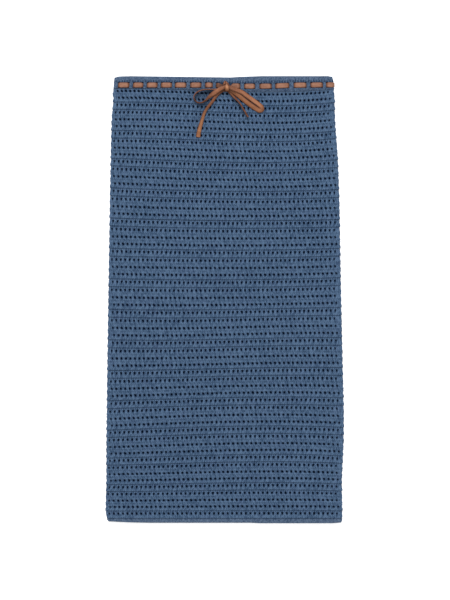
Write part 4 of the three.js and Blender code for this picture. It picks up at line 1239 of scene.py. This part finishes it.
def knit_material(name, stitch, tones, painted_shade_tone, violet, depth, strengths):
    """Matte knitted yarn: painted highlight on stitch ridges, painted shade between them and in
    hollows.
    """
    material, graph, shader = new_material(name)
    place = graph.place()
    across, up = graph.uv("stitches")
    wander = graph.math("SUBTRACT", graph.noise(place, 160, 2), 0.5)
    drift = graph.math("SUBTRACT", graph.noise(place, 230, 1), 0.5)
    height, chance = graph.node(
        "ShaderNodeGroup", node_tree=stitch, inputs={
            "Across": graph.math("MULTIPLY_ADD", wander, strengths["wander"], across),
            "Up": graph.math("MULTIPLY_ADD", drift, strengths["wander"], up),
            "Slope": 0.9,
        },
    ).outputs
    fibre = graph.noise(place, 1400, 3, 0.7)
    cluster = graph.noise(place, 330, 2, 0.6)
    # Tone follows the stitch height: painted shade between the legs, painted highlight on their
    # ridges.
    tone = graph.times(height, strengths["stitch"])
    # Random tone of each leg, of the fibres and of broader patches, and the painted highlight from the
    # mesh.
    for value, middle, amount in (
        (chance, 0.5, strengths["chance"]), (fibre, 0.5, 0.35),
        (cluster, 0.5, strengths["cluster"]), (graph.noise(place, 9, 2), 0.5, 0.15),
        (graph.shade("painted_highlight"), 0.0, strengths["painted_highlight"]),
    ):
        tone = graph.math("MULTIPLY_ADD", graph.math("SUBTRACT", value, middle), amount, tone)
    yarn = graph.mixed(graph.held(tone, -0.15, 1.0), tones[0], tones[1])
    yarn = graph.mixed(graph.held(graph.noise(place, 70, 2), 0.45, 0.8, 0.0, 0.12), yarn, violet)
    # Painted shade from the mesh, a little less on stitch ridges, mixed towards the painted shade
    # colour.
    shaded = graph.times(graph.shade("painted_shade"), graph.math("MULTIPLY_ADD", height, -0.8, 1.3))
    surface = graph.math("MULTIPLY_ADD", graph.math("ADD", fibre, cluster), 0.22, height)
    graph.fill(shader, {
        "Base Color": graph.mixed(shaded, yarn, painted_shade_tone),
        "Normal": graph.bump(surface, 0.9, depth),
        "Roughness": 0.93,
        "Specular IOR Level": 0.04,
        "Sheen Weight": 0.06,
        "Sheen Roughness": 0.5,
        "Sheen Tint": (0.35, 0.5, 0.8, 1),
    })
    return material


def lining_material():
    """Plain-woven lining: fine crossing threads over a dull navy, darkened further as painted shade.
    """
    material, graph, shader = new_material("lining_weave")
    place = graph.place()
    x, y, _ = graph.parted(place)
    warp, weft = (graph.math("SINE", graph.times(at, 2 * np.pi / THREAD_PITCH)) for at in (x, y))
    weave = graph.times(warp, weft)
    tone = graph.math("MULTIPLY_ADD", weave, 0.2, graph.noise(place, 25, 2))
    # Navy darkened nearly to black: painted shade seen through the eyelets.
    navy, lighter = (0.0003, 0.004, 0.017, 1), (0.001, 0.009, 0.03, 1)
    graph.fill(shader, {
        "Base Color": graph.mixed(graph.held(tone, 0.1, 0.9), navy, lighter),
        "Normal": graph.bump(weave, 0.3, 0.1 * MM),
        "Roughness": 0.85,
        "Specular IOR Level": 0.04,
    })
    return material


def leather_material(name, dark_tone, light_tone, highlight_tone, edge_shade_share):
    """Tan leather: fine grain, streaks along the strap, darker edges, painted shade and highlight."""
    material, graph, shader = new_material(name)
    place = graph.place()
    over, along = graph.uv("strap")
    stretched = graph.joined(graph.times(over, 1.1), graph.times(along, 0.09))
    streaks = graph.noise(stretched, 1.0, 3, 0.6)
    blotch = graph.noise(place, 85, 3, 0.55)
    pores = graph.node(
        "ShaderNodeTexVoronoi", inputs={"Vector": place, "Scale": 1900},
        feature="DISTANCE_TO_EDGE",
    )
    grain = graph.held(pores.outputs["Distance"], 0.0, 0.12)
    tone = graph.math("MULTIPLY_ADD", streaks, 0.75, graph.times(blotch, 0.5))
    colour = graph.mixed(graph.held(tone, 0.35, 0.85), dark_tone, light_tone)
    # Painted highlight from the mesh, towards the lightest tone.
    colour = graph.mixed(graph.times(graph.shade("painted_highlight"), 0.75), colour, highlight_tone)
    # Darker towards both edges: partly the edges' own colour, partly painted shade round the section.
    edge = graph.held(graph.math("ABSOLUTE", over), 1.9, 4.5, 0.0, edge_shade_share)
    colour = graph.mixed(edge, colour, (0.085, 0.025, 0.008, 1))
    # Painted shade from the mesh.
    painted_shade = graph.times(graph.shade("painted_shade"), 0.9)
    relief = graph.math("MULTIPLY_ADD", streaks, 0.6, grain)
    graph.fill(shader, {
        "Base Color": graph.mixed(painted_shade, colour, (0.075, 0.021, 0.005, 1)),
        "Roughness": graph.held(blotch, 0.2, 0.8, 0.44, 0.6),
        "Normal": graph.bump(relief, 0.35, 0.15 * MM),
        "Specular IOR Level": 0.25,
    })
    return material


def floor_material():
    """Plain white surface."""
    material, graph, shader = new_material("white_surface")
    graph.fill(shader, {
        "Base Color": (0.9, 0.9, 0.9, 1),
        "Roughness": 0.9,
        "Specular IOR Level": 0.1,
        "Emission Color": (1, 1, 1, 1),
        "Emission Strength": 0.45,
    })
    return material


# ---------------------------------------------------------------- camera, light and floor
def camera():
    """A long lens straight above the skirt."""
    data = bpy.data.cameras.new("camera")
    data.sensor_width = 36
    data.lens = data.sensor_width * CAMERA_DISTANCE / VIEW_HEIGHT
    made = bpy.data.objects.new("camera", data)
    made.location = (0.5 * MM, -0.6 * MM, CAMERA_DISTANCE + BODY_HEIGHT)
    bpy.context.scene.collection.objects.link(made)
    bpy.context.scene.camera = made


def area_light(name, place, size, power):
    """A square soft box at a place, turned to the skirt's middle."""
    data = bpy.data.lights.new(name, "AREA")
    data.size, data.energy = size, power
    made = bpy.data.objects.new(name, data)
    made.location = place
    made.rotation_mode = "QUATERNION"
    made.rotation_quaternion = (-Vector(place)).to_track_quat("-Z", "Y")
    bpy.context.scene.collection.objects.link(made)


def studio():
    """Soft white surroundings, a soft box above and to the left, a fill, and the pale floor.

    The surroundings light the skirt less brightly than the camera sees them.
    """
    scene = bpy.context.scene
    scene.view_settings.view_transform = "Standard"
    world = bpy.data.worlds.new("studio")
    world.use_nodes = True
    graph = Graph(world.node_tree)
    seen = graph.node("ShaderNodeLightPath").outputs["Is Camera Ray"]
    graph.fill(world.node_tree.nodes["Background"], {
        "Color": (1, 1, 1, 1),
        "Strength": graph.math("MULTIPLY_ADD", seen, 0.34, 0.66),
    })
    scene.world = world
    area_light("soft_box", (-0.6, 3.3, 4.0), 2.6, 225)
    area_light("fill", (1.4, -0.9, 2.2), 1.6, 10)
    mesh = bpy.data.meshes.new("floor")
    corners = [(x, y, -0.2 * MM) for x, y in ((-4, -4), (4, -4), (4, 4), (-4, 4))]
    mesh.from_pydata(corners, [], [(0, 1, 2, 3)])
    mesh.materials.append(floor_material())
    floor = bpy.data.objects.new("knit_floor", mesh)
    scene.collection.objects.link(floor)


# ---------------------------------------------------------------- the skirt
camera()
# Two copies of one leather: the bow's is more orange, with darker darks and edges, as painted shade.
SHADED_BOW_LEATHER = leather_material(
    "bow_leather_shaded", (0.14, 0.041, 0.013, 1), (0.345, 0.142, 0.074, 1), (0.44, 0.205, 0.093, 1), 0.76,
)
WOVEN_LEATHER = leather_material(
    "woven_leather", (0.16, 0.062, 0.032, 1), (0.33, 0.158, 0.1, 1), (0.42, 0.21, 0.125, 1), 0.5,
)
for strap in BOW_STRAPS:
    bow_strap(**strap, material=SHADED_BOW_LEATHER)
knot_piece("knot", "bow_knot", SHADED_BOW_LEATHER)
drawstring("woven_strap", "drawstring", WOVEN_LEATHER)
studio()

STITCH = knit_stitch_group()
# Darkest colour: the painted shade. Strengths: stitch sets painted shade, the last painted highlight.
KNIT = knit_material(
    "openwork_knit", STITCH, tones=((0.011, 0.031, 0.071, 1), (0.097, 0.16, 0.26, 1)),
    painted_shade_tone=(0.0003, 0.0055, 0.024, 1), violet=(0.07, 0.085, 0.19, 1), depth=0.6 * MM,
    strengths={"wander": 0.08, "stitch": 1.1, "chance": 0.65, "cluster": 0.04, "painted_highlight": 0.1},
)
BAND = knit_material(
    "band_knit", STITCH, tones=((0.01, 0.028, 0.066, 1), (0.117, 0.168, 0.25, 1)),
    painted_shade_tone=(0.006, 0.016, 0.042, 1), violet=(0.08, 0.095, 0.2, 1), depth=0.3 * MM,
    strengths={"wander": 0.3, "stitch": 0.9, "chance": 0.65, "cluster": 0.5, "painted_highlight": 0.3},
)
LINING = lining_material()

panel_parts("knit_front", "front_panel", "front", FRONT_RISES, FRONT_COLUMNS, (38, 18), SEED, KNIT)
panel_parts("knit_back", "back_panel", "back", BACK_RISES, BACK_COLUMNS, (30,), SEED + 10, KNIT)
for half in ("front", "back"):
    waistband(f"band_{half}", f"waistband_{half}", half, BAND)
for half in ("front", "back"):
    hem_band(f"hem_{half}", f"hem_band_{half}", half, BAND)
lining_cloth("lining_upper", "lining_front", LINING)
lining_cloth("lining_lower", "lining_back", LINING)
